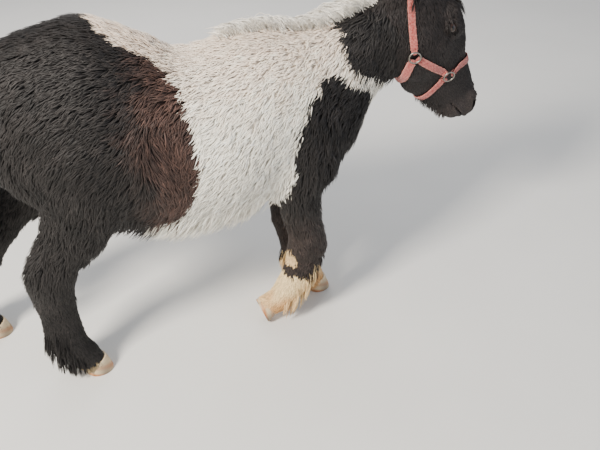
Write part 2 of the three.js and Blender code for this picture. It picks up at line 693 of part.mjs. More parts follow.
function forelockLocks() {
  const draw = draws(FORELOCK_LOCK.seed);
  const locks = [];
  for (let i = 0; i < FORELOCK_LOCK.count; i++) {
    const side = lerp(-14, 14, i / (FORELOCK_LOCK.count - 1));
    const root = onHead(-236 + draw(-8, 8), 100, side);
    const lie = HEAD_LINE.clone().addScaledVector(HEAD_SIDE, side * 0.02 + draw(-0.12, 0.12));
    const size = { ...FORELOCK_LOCK, long: FORELOCK_LOCK.long * draw(0.75, 1.1) };
    locks.push(lockOn(headField, root, lie, size, [10, 11, draw(4, 9)].map((h) => h + (i % 2) * 3)));
  }
  return locks;
}
function beardLocks() {
  const draw = draws(BEARD_LOCK.seed);
  const locks = [];
  for (let i = 0; i < BEARD_LOCK.count; i++) {
    const root = onHead(78 + 18 * i, -60, draw(-9, 9));
    const surface = settle(headField, root);
    const points = [v(2, 0, 12), v(-3, 0, -6), v(-12, 0, -22), v(-26, 0, -BEARD_LOCK.long + 8)];
    const line = points.map((p) => p.add(surface));
    locks.push(ribbon(line, line.map(() => LEFT), BEARD_LOCK.wide, BEARD_LOCK.thick));
  }
  return locks;
}
const locksOfHead = joined([...forelockLocks(), ...beardLocks()]);
let head = headAndNeck.add(locksOfHead).intersect(beyond(HEAD_CUT.at, HEAD_CUT.normal, { shift: GAP }));
for (const nose of NOSES) head = head.add(nose.rim);
for (const nose of NOSES) head = head.subtract(nose.hollow);
for (const eye of Object.values(EYES)) head = head.add(eye.lids).subtract(eye.ball(EYE_RADIUS + GAP));
head = head.subtract(mouth);
addNode("head", head, "black_coat");
for (const [name, eye] of Object.entries(EYES)) addNode(`eye_${name}`, eye.ball(EYE_RADIUS), "eye");

// Ears: a leaf-shaped cup, open to the front and the side
function ear(side) {
  const root = onHead(-240, 82, 44 * side);
  const up = HEAD_LINE.clone().multiplyScalar(-0.86).addScaledVector(HEAD_UP, 0.34)
    .addScaledVector(HEAD_SIDE, 0.32 * side).normalize();
  const open = HEAD_UP.clone().addScaledVector(HEAD_SIDE, 0.75 * side).projectOnPlane(up).normalize();
  const across = up.clone().cross(open);
  const rings = [];
  for (let i = 0; i < 8; i++) {
    const t = i / 8;
    const half = 24 * Math.sin(Math.PI * (0.24 + 0.76 * t)) ** 0.8 * (1 - 0.25 * t);
    const deep = half * 0.8;
    const centre = root.clone().addScaledVector(up, EAR_LONG * (t - 0.14)).addScaledVector(open, -6 * t * t);
    const arc = (count, width, depth, first, last) =>
      Array.from({ length: count }, (_, k) => {
        const turn = THREE.MathUtils.degToRad(lerp(first, last, k / (count - 1)));
        return centre.clone()
          .addScaledVector(across, width * Math.sin(turn))
          .addScaledVector(open, -depth * Math.cos(turn));
      });
    const wall = 4.5 - 2 * t;
    rings.push([...arc(7, half, deep, -115, 115), ...arc(5, half - wall, deep - wall, 100, -100)]);
  }
  const tip = root.clone().addScaledVector(up, EAR_LONG * 0.88).addScaledVector(open, -6);
  return loft(rings, tip).subtract(headAndNeckGrown);
}
addNode("ear_left", ear(1), "black_coat");
addNode("ear_right", ear(-1), "black_coat");

// Legs, hooves and the feather on the fetlocks
function footFrame(sole, heading, heelUp = 0) {
  const reach = Math.cos(heelUp);
  const ahead = v(Math.cos(heading) * reach, Math.sin(heading) * reach, -Math.sin(heelUp));
  const side = v(-Math.sin(heading), Math.cos(heading), 0);
  return { sole, ahead, side, up: ahead.clone().cross(side) };
}
const onFoot = (foot, x, y, z) =>
  foot.sole.clone().addScaledVector(foot.ahead, x).addScaledVector(foot.side, y).addScaledVector(foot.up, z);
const SOLE = { front: 41, rear: 35, half: 37 };
const CORONET = { front: 31, rear: 29, half: 30, back: 7 };
const HOOF_SIDES = 16;
function hoof(foot, grow = 0) {
  const slant = (HOOF_TOE_HIGH - HOOF_HEEL_HIGH) / (CORONET.front + CORONET.rear);
  const rings = [0, 0.5, 1].map((share) =>
    Array.from({ length: HOOF_SIDES }, (_, s) => {
      const turn = (2 * Math.PI * s) / HOOF_SIDES;
      const [c, d] = [Math.cos(turn), Math.sin(turn)];
      const swell = 1.5 * Math.sin(Math.PI * share);
      const front = lerp(SOLE.front, CORONET.front, share) + grow;
      const rear = lerp(SOLE.rear, CORONET.rear, share) + grow;
      const x = (c > 0 ? front : rear) * c - CORONET.back * share;
      const y = (lerp(SOLE.half, CORONET.half, share) + swell + grow) * d;
      const high = HOOF_TOE_HIGH - slant * (CORONET.front - CORONET.back - x);
      return onFoot(foot, x, y, share * high + grow * (2 * share - 1));
    }),
  );
  return loft(rings);
}
const FEET = {
  hind_right: footFrame(v(-320, -150, 0), -0.05),
  hind_left: footFrame(v(-574, 114, 0), 0.05),
  fore_right: footFrame(v(172, -104, 36.5), 0, THREE.MathUtils.degToRad(68)),
  fore_left: footFrame(v(389, 3, 0), 0.02),
};
const coronet = (foot, shift) => {
  const slant = (HOOF_TOE_HIGH - HOOF_HEEL_HIGH) / (CORONET.front + CORONET.rear);
  const at = onFoot(foot, CORONET.front - CORONET.back, 0, HOOF_TOE_HIGH);
  const normal = foot.up.clone().addScaledVector(foot.ahead, -slant).normalize();
  return beyond(at, normal.negate(), { size: 160, shift });
};
// The feather grows from the back and sides of the fetlock and hangs down behind the hoof.
function featherLocks(one, name) {
  const draw = draws(FEATHER_LOCK.seed + name.length);
  const field = fieldOf([one]);
  const bent = name === "fore_right";
  const row = rowAt(one, bent ? 0.68 : 0.72);
  const locks = [];
  for (let i = 0; i < FEATHER_LOCK.count; i++) {
    const turn = Math.PI * lerp(-0.42, 0.42, i / (FEATHER_LOCK.count - 1));
    const out = row.up.clone().multiplyScalar(bent ? Math.cos(turn) : -Math.cos(turn))
      .addScaledVector(row.across, Math.sin(turn));
    const root = settle(field, row.at.clone().addScaledVector(out, 45), -8).add(v(0, 0, i % 2 ? 14 : 0));
    const fall = Math.min(FEATHER_LOCK.long * draw(0.72, 1.1), root.z - 8);
    const drift = bent ? -0.55 * fall : -FEATHER_DRIFT * fall * Math.cos(turn);
    const points = [[0, 0], [8, 0.36], [7, 0.72], [1, 1]].map(([away, share]) =>
      root.clone().addScaledVector(out, away).add(v(drift * share * (1 - share * 0.6), 0, -fall * share)));
    locks.push(ribbon(points, points.map(() => out), FEATHER_LOCK.wide, FEATHER_LOCK.thick));
  }
  return locks;
}
const underFloor = blockOf(v(-900, -500, -300), v(900, 500, 0));
function leg(name, one, cut, jointZ) {
  const foot = FEET[name];
  const whole = skin(one, bodyField, { rings: 20, segments: 12, t0: 0.14, over: 30 });
  const under = (z) => blockOf(v(-900, -500, -200), v(900, 500, z));
  const feather = joined(featherLocks(one, name));
  const lower = whole.intersect(under(jointZ - GAP)).subtract(coronet(foot, -GAP)).add(feather);
  addNode(`${name}_upper`, whole.intersect(acrossBlock(cut, 1.2 * GAP)).subtract(under(jointZ)), "black_coat");
  addNode(`${name}_lower`, lower.subtract(hoof(foot, GAP)).subtract(underFloor), "black_coat");
  addNode(`${name}_hoof`, hoof(foot).subtract(underFloor), "hoof_horn");
}
leg("hind_right", HIND_RIGHT, HIND_CUT, HOCK_CUT_Z);
leg("hind_left", HIND_LEFT, HIND_CUT, HOCK_CUT_Z);
leg("fore_right", FORE_RIGHT, FORE_CUT, KNEE_CUT_Z);
leg("fore_left", FORE_LEFT, FORE_CUT, KNEE_CUT_Z);

// Tail
function tailLocks() {
  const draw = draws(TAIL_LOCK.seed);
  const locks = [];
  for (let i = 0; i < TAIL_LOCK.count; i++) {
    const share = (i + 0.5) / TAIL_LOCK.count;
    const turn = 2.4 * i;
    const out = v(Math.cos(turn), Math.sin(turn), 0);
    const spread = (most, drop) => {
      const place = v(-598 + 26 * drop, TAIL_SPREAD.right * drop, 0);
      return place.add(v(TAIL_SPREAD.ahead * out.x, TAIL_SPREAD.side * out.y, 0).multiplyScalar(most));
    };
    const root = rowAt(DOCK, lerp(0.4, 0.92, share)).at.clone().addScaledVector(out, 12);
    const end = lerp(290, 140, share) + draw(-30, 30);
    const hip = spread(1, 0.4).setZ(lerp(root.z, end, 0.42));
    const knee = spread(0.95, 0.75).setZ(lerp(root.z, end, 0.74));
    const tip = spread(0.7 + draw(-0.2, 0.2), 1).setZ(end);
    const points = [root, root.clone().lerp(hip, 0.45).addScaledVector(out, 10), hip, knee, tip];
    locks.push(ribbon(points, points.map(() => out), TAIL_LOCK.wide, TAIL_LOCK.thick));
  }
  return locks;
}
const dock = skin(DOCK, fieldOf([DOCK]), { rings: 8, segments: 8, startRings: 1, endRings: 1 });
addNode("tail", dock.add(joined(tailLocks())).subtract(trunkSkin(1.5 * GAP)), "black_coat");

// Halter: bands of webbing that lie on the head and end at rings
const wornField = (p) => Math.min(headField(p), bodyField(p));
const STRAP_STEP = 21;
const RING_REACH = 22;
function strap(places, width) {
  const points = places.map((place) => settle(wornField, onHead(...place), STRAP_LIFT));
  const curve = new THREE.CatmullRomCurve3(points, false, "centripetal");
  const steps = Math.round(curve.getLength() / STRAP_STEP);
  const samples = Array.from({ length: steps + 1 }, (_, i) => {
    const at = settle(wornField, curve.getPointAt(i / steps), STRAP_LIFT);
    const out = slope(wornField, at);
    const along = curve.getTangentAt(i / steps).projectOnPlane(out).normalize();
    return { at, out, along, across: out.clone().cross(along) };
  });
  const rings = samples.map(({ at, across }) => {
    const under = [-0.5, 0, 0.5].map((share) =>
      settle(wornField, at.clone().addScaledVector(across, share * width), STRAP_LIFT),
    );
    const over = under.map((p) => p.clone().addScaledVector(slope(wornField, p), STRAP_THICK));
    return [...under, ...over.reverse()];
  });
  return { solid: loft(rings), samples };
}
const RINGS = { cheek: [-126, -90, 80], nose: [1, -13, 55] };
const sided = ([l, up, side], s) => [l, up, side * s];
const toward = (from, to) => {
  const reach = RING_REACH / Math.hypot(to[0] - from[0], to[1] - from[1], to[2] - from[2]);
  return from.map((value, i) => lerp(value, to[i], reach));
};
const across = (half) => [...half.map((p) => sided(p, -1)), ...half.slice(0, -1).reverse()];
const CROWN_HALF = [[-200, -62, 77], [-250, -38, 68], [-290, -14, 48], [-303, 8, 0]];
const NOSE_HALF = [[4, 32, 48], [15, 64, 28], [20, 80, 0]];
const CHIN_HALF = [[22, -60, 48], [36, -88, 32], [44, -108, 0]];
const THROAT_HALF = [[-90, -120, 62], [-62, -134, 36], [-50, -140, 0]];
const band = (ring, half, width) => strap(across([toward(ring, half[0]), ...half]), width);
const crown = band(RINGS.cheek, CROWN_HALF, WEBBING);
addNode("halter_crown", crown.solid, "webbing");
addNode("halter_nose", band(RINGS.nose, NOSE_HALF, NARROW_WEBBING).solid, "webbing");
addNode("halter_chin", band(RINGS.nose, CHIN_HALF, NARROW_WEBBING).solid, "webbing");
addNode("halter_throat", band(RINGS.cheek, THROAT_HALF, NARROW_WEBBING).solid, "webbing");
for (const [name, s] of [["left", 1], ["right", -1]]) {
  const [cheek, nose] = [sided(RINGS.cheek, s), sided(RINGS.nose, s)];
  const middle = cheek.map((value, i) => (value + nose[i]) / 2);
  const piece = strap([toward(cheek, nose), middle, toward(nose, cheek)], WEBBING);
  addNode(`halter_cheek_${name}`, piece.solid, "webbing");
  for (const [kind, place] of [["cheek", cheek], ["nose", nose]]) {
    const at = settle(headField, onHead(...place), RING_LIFT);
    const out = slope(headField, at);
    const x = HEAD_LINE.clone().projectOnPlane(out).normalize();
    const ring = new THREE.TorusGeometry(RING_RADIUS, RING_WIRE, 4, 12);
    addNode(`halter_ring_${kind}_${name}`, placed(ring, at, x, out.clone().cross(x)), "ring_metal");
  }
}
const BUCKLE = { long: 32, wide: 34, bar: 5, thick: 3 };
const buckleShape = new THREE.Shape([[-1, -1], [1, -1], [1, 1], [-1, 1]].map(([a, b]) =>
  new THREE.Vector2((a * BUCKLE.long) / 2, (b * BUCKLE.wide) / 2)));
buckleShape.holes.push(new THREE.Path([[-1, -1], [-1, 1], [1, 1], [1, -1]].map(([a, b]) =>
  new THREE.Vector2(a * (BUCKLE.long / 2 - BUCKLE.bar), b * (BUCKLE.wide / 2 - BUCKLE.bar)))));
const buckle = new THREE.ExtrudeGeometry(buckleShape, { depth: BUCKLE.thick, bevelEnabled: false });
const under = crown.samples.at(-4);
const buckleAt = under.at.clone().addScaledVector(under.out, STRAP_THICK + 4 * GAP);
addNode("halter_buckle", placed(buckle, buckleAt, under.along, under.across), "ring_metal");

// The pony stands with its origin on the floor, under the middle of its box.
const span = new THREE.Box3().setFromObject(body);
body.position.set(-(span.min.x + span.max.x) / 2, -(span.min.y + span.max.y) / 2, 0);
const pony = new THREE.Group();
pony.name = "shetland_pony";
pony.add(body);
export default pony;
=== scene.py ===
# Shetland pony in its winter coat, walking, with a webbing halter. The body is one skin with a coat of
# tufts over it; the mane, forelock, tail, feather, belly fringe and beard are locks of hair.
# The pony's own coordinates are millimetres, +X towards the nose, +Y to its left, +Z up, hooves on z = 0.
import json
import math

import bmesh
import bpy
import numpy as np
from mathutils import Matrix, Vector
from mathutils.kdtree import KDTree

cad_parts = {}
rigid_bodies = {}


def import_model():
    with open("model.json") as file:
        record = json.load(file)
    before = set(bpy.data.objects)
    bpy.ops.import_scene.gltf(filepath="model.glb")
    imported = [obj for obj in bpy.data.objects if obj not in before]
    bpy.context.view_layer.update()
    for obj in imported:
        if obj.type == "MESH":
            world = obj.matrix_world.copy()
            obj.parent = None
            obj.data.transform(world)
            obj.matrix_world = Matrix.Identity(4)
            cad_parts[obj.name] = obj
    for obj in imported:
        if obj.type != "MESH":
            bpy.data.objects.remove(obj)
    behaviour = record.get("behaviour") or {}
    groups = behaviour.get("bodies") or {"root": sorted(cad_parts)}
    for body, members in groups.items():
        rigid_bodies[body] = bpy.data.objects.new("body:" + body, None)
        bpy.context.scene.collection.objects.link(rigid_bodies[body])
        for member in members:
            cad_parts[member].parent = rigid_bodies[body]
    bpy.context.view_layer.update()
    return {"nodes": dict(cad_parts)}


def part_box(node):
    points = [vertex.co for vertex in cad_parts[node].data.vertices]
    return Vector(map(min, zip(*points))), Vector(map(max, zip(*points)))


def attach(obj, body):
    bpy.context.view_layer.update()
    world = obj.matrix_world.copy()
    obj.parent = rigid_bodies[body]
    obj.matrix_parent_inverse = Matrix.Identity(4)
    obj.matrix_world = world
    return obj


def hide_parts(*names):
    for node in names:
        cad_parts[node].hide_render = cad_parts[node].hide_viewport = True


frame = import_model()
HOOF_REAR_X = -356.0
SHIFT_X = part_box("hind_right_hoof")[0].x * 1000 - HOOF_REAR_X
EYE_RADIUS = 18.0
UP = np.array([0.0, 0.0, 1.0])
SKIN_CELL = 7.5


def to_world(points):
    return (np.asarray(points, float) + [SHIFT_X, 0, 0]) * 0.001


def unit(a):
    a = np.asarray(a, float)
    return a / np.maximum(np.linalg.norm(a, axis=-1, keepdims=True), 1e-9)


def lerp(a, b, t):
    return a + (b - a) * t


def ease(x, low, high):
    t = np.clip((np.asarray(x, float) - low) / (high - low), 0, 1)
    return t * t * (3 - 2 * t)


def across_of(a, n):
    return a - n * np.sum(a * n, axis=-1, keepdims=True)


def level(a, n):
    """The unit way along a, laid flat across the way n."""
    return unit(across_of(a, n))


def bell(x, width):
    return np.exp(-((x / width) ** 2))


def waves(points, size, seed, count=5):
    """Smooth noise made of a few waves, for markings and clumps."""
    draw = np.random.default_rng(seed)
    total = np.zeros(len(points))
    for _ in range(count):
        way = unit(draw.normal(size=3))
        length = size * draw.uniform(0.7, 1.5)
        start = draw.uniform(0, 6.28)
        total += np.sin(points @ way * (2 * math.pi / length) + start)
    return total / math.sqrt(count)


# The form: limbs, each a row of cross-sections along a bent line
def spline(points, shares):
    points = np.array(points, float)
    last = len(points) - 1
    place = np.clip(np.asarray(shares, float), 0, 1) * last
    i = np.minimum(place.astype(int), last - 1)
    w = (place - i)[:, None]
    padded = np.vstack([2 * points[0] - points[1], points, 2 * points[-1] - points[-2]])
    p0, p1, p2, p3 = padded[i], padded[i + 1], padded[i + 2], padded[i + 3]
    m1, m2 = (p2 - p0) / 2, (p3 - p1) / 2
    return (
        (2 * w**3 - 3 * w**2 + 1) * p1
        + (w**3 - 2 * w**2 + w) * m1
        + (3 * w**2 - 2 * w**3) * p2
        + (w**3 - w**2) * m2
    )


class Limb:
    """A form of oval cross-sections: stations hold x, y, z, half width, height above and depth below."""

    def __init__(self, stations, blend, side=(0, 1, 0), samples=40):
        stations = np.array(stations, float)
        shares = np.linspace(0, 1, samples + 1)
        self.at = spline(stations[:, :3], shares)
        self.size = spline(stations[:, 3:6], shares)
        step = 1e-4
        ahead = spline(stations[:, :3], shares + step) - spline(stations[:, :3], shares - step)
        self.along = unit(ahead)
        self.across = level(np.array(side, float), self.along)
        self.up = np.cross(self.along, self.across)
        self.blend = blend
        self.low = self.at.min(0)
        self.high = self.at.max(0)
        self.reach = self.size.max() + 90

    def row(self, t):
        """Centre, along, across, up and size at shares t of the limb's length."""
        place = np.clip(np.asarray(t, float), 0, 1) * (len(self.at) - 1)
        i = np.minimum(place.astype(int), len(self.at) - 2)
        w = (place - i)[..., None]
        mixed = [lerp(a[i], a[i + 1], w) for a in (self.at, self.along, self.across, self.up, self.size)]
        return [mixed[0], *(unit(m) for m in mixed[1:4]), mixed[4]]

    def near(self, points):
        """The share of the limb's length that is nearest to each point."""
        far = (self.at**2).sum(1) - 2 * points @ self.at.T
        i = np.argmin(far, axis=1)
        best = np.full(len(points), np.inf)
        share = np.zeros(len(points))
        for first in (np.maximum(i - 1, 0), np.minimum(i, len(self.at) - 2)):
            a = self.at[first]
            d = self.at[first + 1] - a
            off = points - a
            s = np.clip((off * d).sum(1) / (d * d).sum(1), 0, 1)
            gap = ((off - s[:, None] * d) ** 2).sum(1)
            nearer = gap < best
            best[nearer] = gap[nearer]
            share[nearer] = (first + s)[nearer]
        return share / (len(self.at) - 1)

    def field(self, points):
        """About how far each point is from the surface, and less than 0 inside."""
        far = np.linalg.norm(points - np.clip(points, self.low, self.high), axis=1)
        value = far.copy()
        close = far < self.reach
        if not close.any():
            return value
        p = points[close]
        at, along, across, up, size = self.row(self.near(p))
        off = p - at
        reach = np.maximum(np.linalg.norm(off, axis=1), 1e-3)
        a, b, c = (np.sum(off * d, axis=1) for d in (up, across, along))
        depth = np.where(a > 0, size[:, 1], size[:, 2])
        cap = size.min(1)
        k = np.sqrt((a / depth) ** 2 + (b / size[:, 0]) ** 2 + (c / cap) ** 2)
        value[close] = reach * (1 - 1 / np.maximum(k, 1e-6))
        return value


def smooth_min(a, b, k):
    h = np.maximum(k - np.abs(a - b), 0) / k
    return np.minimum(a, b) - h * h * k / 4


def field_of(limbs):
    def field(points):
        total = limbs[0].field(points)
        for limb in limbs[1:]:
            total = smooth_min(total, limb.field(points), limb.blend)
        return total

    return field


def slope(field, points, here=None, step=1.0):
    """The unit way in which the field grows, at each point."""
    here = field(points) if here is None else here
    return unit(np.stack([field(points + step * axis) - here for axis in np.eye(3)], axis=1))


def settle(field, points, height=0.0, turns=5):
    """Moves points along the slope until the field has the given height there."""
    p = np.array(points, float)
    for _ in range(turns):
        here = field(p)
        p += slope(field, p, here) * (0.8 * (height - here))[:, None]
    return p


TRUNK = Limb(
    [
        (-424, 0, 690, 150, 186, 152),
        (-372, 0, 690, 194, 230, 190),
        (-285, 0, 670, 226, 278, 215),
        (-170, 0, 635, 222, 265, 230),
        (-45, 0, 600, 228, 238, 264),
        (85, 0, 600, 228, 230, 258),
        (200, 0, 620, 203, 236, 225),
        (300, 0, 622, 168, 209, 200),
        (392, 0, 612, 132, 165, 160),
    ],
    60,
)
NECK = Limb(
    [
        (250, 0, 665, 125, 172, 185),
        (360, 0, 703, 108, 140, 153),
        (450, 0, 742, 92, 116, 142),
        (530, 0, 782, 80, 106, 142),
        (592, 0, 818, 72, 92, 118),
        (648, 0, 866, 60, 64, 88),
    ],
    70,
)

HEAD_TILT = math.radians(28)
HEAD_TURN = math.radians(3)
HEAD_AT = np.array([769.0, 0, 686])
HEAD_SIDE = np.array([-math.sin(HEAD_TURN), math.cos(HEAD_TURN), 0])
HEAD_AHEAD = np.array([math.cos(HEAD_TURN), math.sin(HEAD_TURN), 0])
HEAD_LINE = HEAD_AHEAD * math.sin(HEAD_TILT) - UP * math.cos(HEAD_TILT)
HEAD_UP = np.cross(HEAD_LINE, HEAD_SIDE)
HEAD_AXES = np.array([HEAD_LINE, HEAD_UP, HEAD_SIDE])


def on_head(line, up, side=0.0):
    return HEAD_AT + HEAD_LINE * line + HEAD_UP * up + HEAD_SIDE * side


def head_places(points):
    """Along the head towards the lips, up towards the forehead, and to the pony's left."""
    return ((points - HEAD_AT) @ HEAD_AXES.T).T


def head_limb(stations, blend, samples=4):
    rows = [(*on_head(*place), *sizes) for place, sizes in stations]
    return Limb(rows, blend, HEAD_SIDE, samples)


SKULL = head_limb(
    [
        ((-268, -12, 0), (56, 70, 88)),
        ((-215, -10, 0), (68, 100, 108)),
        ((-160, -8, 0), (74, 113, 120)),
        ((-105, -8, 0), (74, 120, 126)),
        ((-50, -6, 0), (63, 108, 127)),
        ((0, -6, 0), (52, 88, 122)),
        ((50, -8, 0), (44, 85, 92)),
        ((95, -8, 0), (41, 82, 70)),
        ((135, -4, 0), (42, 78, 50)),
        ((160, 6, 0), (38, 58, 30)),
    ],
    25,
    48,
)
HEAD = [SKULL]
# On both sides, each from one place to another: jowl, brow, cheekbone and nostril
for start, end, sizes, blend in (
    ((-145, -58, 40), (-72, -66, 34), (36, 60, 56), 34),
    ((-160, 72, 46), (-118, 64, 50), (26, 24, 24), 24),
    ((-112, 8, 54), (-12, 4, 40), (14, 16, 16), 24),
    ((128, 46, 27), (160, 24, 25), (17, 22, 22), 16),
):
    for side in (1, -1):
        ends = [((line, up, wide * side), sizes) for line, up, wide in (start, end)]
        HEAD.append(head_limb(ends, blend))
# The chin
HEAD.append(head_limb([((128, -38, 0), (28, 18, 22)), ((152, -26, 0), (28, 18, 22))], 18))

HIND_RIGHT = Limb(
    [
        (-310, -95, 740, 85, 110, 130),
        (-300, -118, 640, 92, 125, 165),
        (-285, -135, 530, 82, 112, 135),
        (-322, -138, 440, 64, 92, 92),
        (-368, -135, 378, 50, 70, 72),
        (-390, -134, 325, 48, 62, 74),
        (-396, -134, 270, 42, 52, 62),
        (-393, -136, 205, 36, 44, 50),
        (-388, -139, 140, 37, 45, 53),
        (-376, -143, 92, 39, 43, 50),
        (-352, -147, 58, 36, 40, 42),
        (-334, -150, 32, 33, 34, 34),
        (-318, -150, 6, 31, 32, 33),
    ],
    55,
    samples=60,
)
HIND_LEFT = Limb(
    [
        (-310, 95, 740, 85, 110, 130),
        (-318, 118, 640, 92, 125, 160),
        (-345, 133, 530, 82, 112, 125),
        (-415, 132, 446, 62, 88, 86),
        (-480, 128, 388, 50, 66, 64),
        (-520, 124, 340, 48, 60, 60),
        (-550, 121, 288, 42, 50, 52),
        (-588, 119, 208, 36, 42, 48),
        (-618, 117, 142, 37, 44, 50),
        (-622, 116, 96, 39, 43, 50),
        (-605, 115, 60, 36, 40, 42),
        (-588, 114, 34, 33, 34, 34),
        (-572, 114, 8, 31, 32, 33),
    ],
    55,
    samples=60,
)
FORE_RIGHT = Limb(
    [
        (330, -95, 620, 70, 100, 90),
        (302, -118, 520, 72, 110, 84),
        (286, -126, 440, 58, 74, 74),
        (296, -125, 360, 48, 54, 60),
        (308, -122, 300, 46, 50, 56),
        (314, -118, 250, 48, 54, 60),
        (306, -115, 198, 38, 44, 54),
        (288, -112, 148, 38, 46, 50),
        (258, -110, 104, 38, 42, 42),
        (230, -108, 70, 34, 37, 38),
        (204, -105, 56, 32, 33, 34),
        (178, -104, 45, 31, 32, 33),
    ],
    45,
    samples=60,
)
FORE_LEFT = Limb(
    [
        (330, 95, 620, 70, 100, 90),
        (305, 118, 520, 72, 110, 84),
        (296, 120, 440, 58, 72, 72),
        (308, 102, 360, 48, 54, 54),
        (318, 82, 300, 46, 50, 54),
        (323, 61, 250, 48, 56, 58),
        (331, 37, 180, 36, 40, 50),
        (340, 19, 118, 39, 42, 52),
        (361, 9, 70, 37, 40, 42),
        (375, 4, 34, 33, 34, 34),
        (391, 3, 8, 31, 32, 33),
    ],
    45,
    samples=60,
)
DOCK = Limb(
    [
        (-440, 0, 800, 22, 20, 20),
        (-505, 0, 806, 28, 24, 24),
        (-560, 0, 772, 32, 27, 27),
        (-592, -2, 690, 33, 28, 28),
        (-604, -5, 590, 30, 26, 26),
        (-606, -6, 510, 20, 18, 18),
    ],
    18,
)
LEGS = [HIND_RIGHT, HIND_LEFT, FORE_RIGHT, FORE_LEFT]
body_field = field_of([TRUNK, NECK, *LEGS])
head_field = field_of(HEAD)


TOE_HIGH = 46.0
HEEL_HIGH = 26.0
# Each foot: the middle of its sole, its heading, and how far the heel is tipped up
FEET = {
    "hind_right": ((-320, -150, 0), -0.05, 0.0),
    "hind_left": ((-574, 114, 0), 0.05, 0.0),
    "fore_right": ((172, -104, 36.5), 0.0, math.radians(68)),
    "fore_left": ((389, 3, 0), 0.02, 0.0),
}


def foot_frame(name):
    sole, heading, heel_up = FEET[name]
    ahead = np.array(
        [math.cos(heading) * math.cos(heel_up), math.sin(heading) * math.cos(heel_up), -math.sin(heel_up)]
    )
    side = np.array([-math.sin(heading), math.cos(heading), 0])
    return np.array(sole, float), ahead, side, np.cross(ahead, side)


def whole_field(points):
    flesh = smooth_min(body_field(points), head_field(points), 16)
    flesh = smooth_min(flesh, DOCK.field(points), DOCK.blend)
    for name in FEET:
        sole, _, _, up = foot_frame(name)
        near = np.linalg.norm(points - sole, axis=1) < 95
        flesh[near] = np.maximum(flesh[near], 12 - (points[near] - sole) @ up)
    return flesh


def of_head(points, slack=12.0):
    """Which points belong to the head rather than to the neck."""
    return head_field(points) < body_field(points) + slack


def coat_depth(points):
    """How deep the coat is over the skin, in each place."""
    line, _, _ = head_places(points)
    on_face = of_head(points)
    trunk = 13 - 3 * ease(points[:, 2], 780, 900)
    leg = lerp(4.0, 1.0, ease(points[:, 2], 420, 240))
    depth = np.where(points[:, 2] < 430, 4 + 9 * ease(points[:, 2], 250, 430), trunk)
    depth = np.where(points[:, 2] < 250, leg, depth)
    face = lerp(7.0, 1.0, ease(line, -230, 120))
    return np.where(on_face, face, depth)


def net_skin(field, low, high, cell):
    """A closed net of four-sided faces where the field is 0, from a grid of cells."""
    low = np.array(low, float)
    count = np.ceil((np.array(high) - low) / cell).astype(int) + 1
    step = 4
    blocks = np.ceil(count / step).astype(int) + 1
    index = np.indices(blocks).reshape(3, -1).T
    coarse = field(low + index * cell * step).reshape(blocks)
    close = np.abs(coarse) < 1.9 * cell * step
    fine = [np.minimum(np.arange(n) / step, b - 1) for n, b in zip(count, blocks)]
    closest = np.ix_(*[np.round(f).astype(int) for f in fine])
    values = coarse[closest]
    wanted = close[closest]
    places = np.argwhere(wanted)
    values[wanted] = field(low + places * cell)
    values[values == 0] = 1e-6
    inside = values < 0
    corners = [np.array([(c >> a) & 1 for a in range(3)]) for c in range(8)]

    def at_corner(array, c):
        return array[tuple(slice(o, n - 1 + o) for o, n in zip(c, count))]

    signs = np.stack([at_corner(inside, c) for c in corners])
    mixed = signs.any(0) & ~signs.all(0)
    cells = np.argwhere(mixed)
    number = -np.ones(mixed.shape, int)
    number[mixed] = np.arange(len(cells))
    total = np.zeros((len(cells), 3))
    hits = np.zeros(len(cells))
    for a in range(8):
        for bit in (1, 2, 4):
            if a & bit:
                continue
            ca, cb = corners[a], corners[a | bit]
            fa, fb = (values[tuple((cells + c).T)] for c in (ca, cb))
            cut = (fa < 0) != (fb < 0)
            t = np.where(cut, fa / np.where(cut, fa - fb, 1), 0)
            total += np.where(cut[:, None], ca + (cb - ca) * t[:, None], 0)
            hits += cut
    points = low + (cells + total / hits[:, None]) * cell
    faces = []
    for axis in range(3):
        u, w = (axis + 1) % 3, (axis + 2) % 3
        head = [slice(1, n - 1) for n in count]
        tail = list(head)
        head[axis] = slice(1, count[axis] - 1)
        tail[axis] = slice(2, count[axis])
        first, second = inside[tuple(head)], inside[tuple(tail)]
        for here, flip in ((first & ~second, False), (second & ~first, True)):
            i = np.argwhere(here) + 1
            quad = []
            for s, t in ((0, 0), (1, 0), (1, 1), (0, 1)):
                off = np.zeros(3, int)
                off[u], off[w] = s, t
                quad.append(number[tuple((i - off).T)])
            quad = np.array(quad).T
            faces.append(quad[:, ::-1] if flip else quad)
    return points, np.concatenate(faces)


def mesh_object(name, points, faces, smooth=True):
    mesh = bpy.data.meshes.new(name)
    mesh.from_pydata([tuple(p) for p in points], [], [tuple(f) for f in faces])
    mesh.validate()
    if smooth:
        mesh.shade_smooth()
    obj = bpy.data.objects.new(name, mesh)
    bpy.context.scene.collection.objects.link(obj)
    return obj


def coords_of(mesh):
    co = np.empty(len(mesh.vertices) * 3)
    mesh.vertices.foreach_get("co", co)
    return co.reshape(-1, 3)


def normals_of(mesh):
    n = np.empty(len(mesh.vertices) * 3, np.float32)
    mesh.vertex_normals.foreach_get("vector", n)
    return n.reshape(-1, 3).astype(float)


def move_points(mesh, points):
    mesh.vertices.foreach_set("co", points.ravel())
    mesh.update()


def store_colour(mesh, colour):
    """Keeps a colour at each point, for the material."""
    stored = mesh.attributes.new("coat", "FLOAT_COLOR", "POINT")
    stored.data.foreach_set("color", np.c_[colour, np.ones(len(colour))].astype(np.float32).ravel())


# The frames of the eyes and nostrils, on the head's surface
def face_frame(place, lean, side):
    surface = settle(head_field, on_head(*place[:2], place[2] * side)[None], turns=12)
    out = slope(head_field, surface)[0]
    along = level(HEAD_LINE + HEAD_UP * lean, out)
    up = level(across_of(HEAD_UP, out), along)
    return surface[0], along, up, out


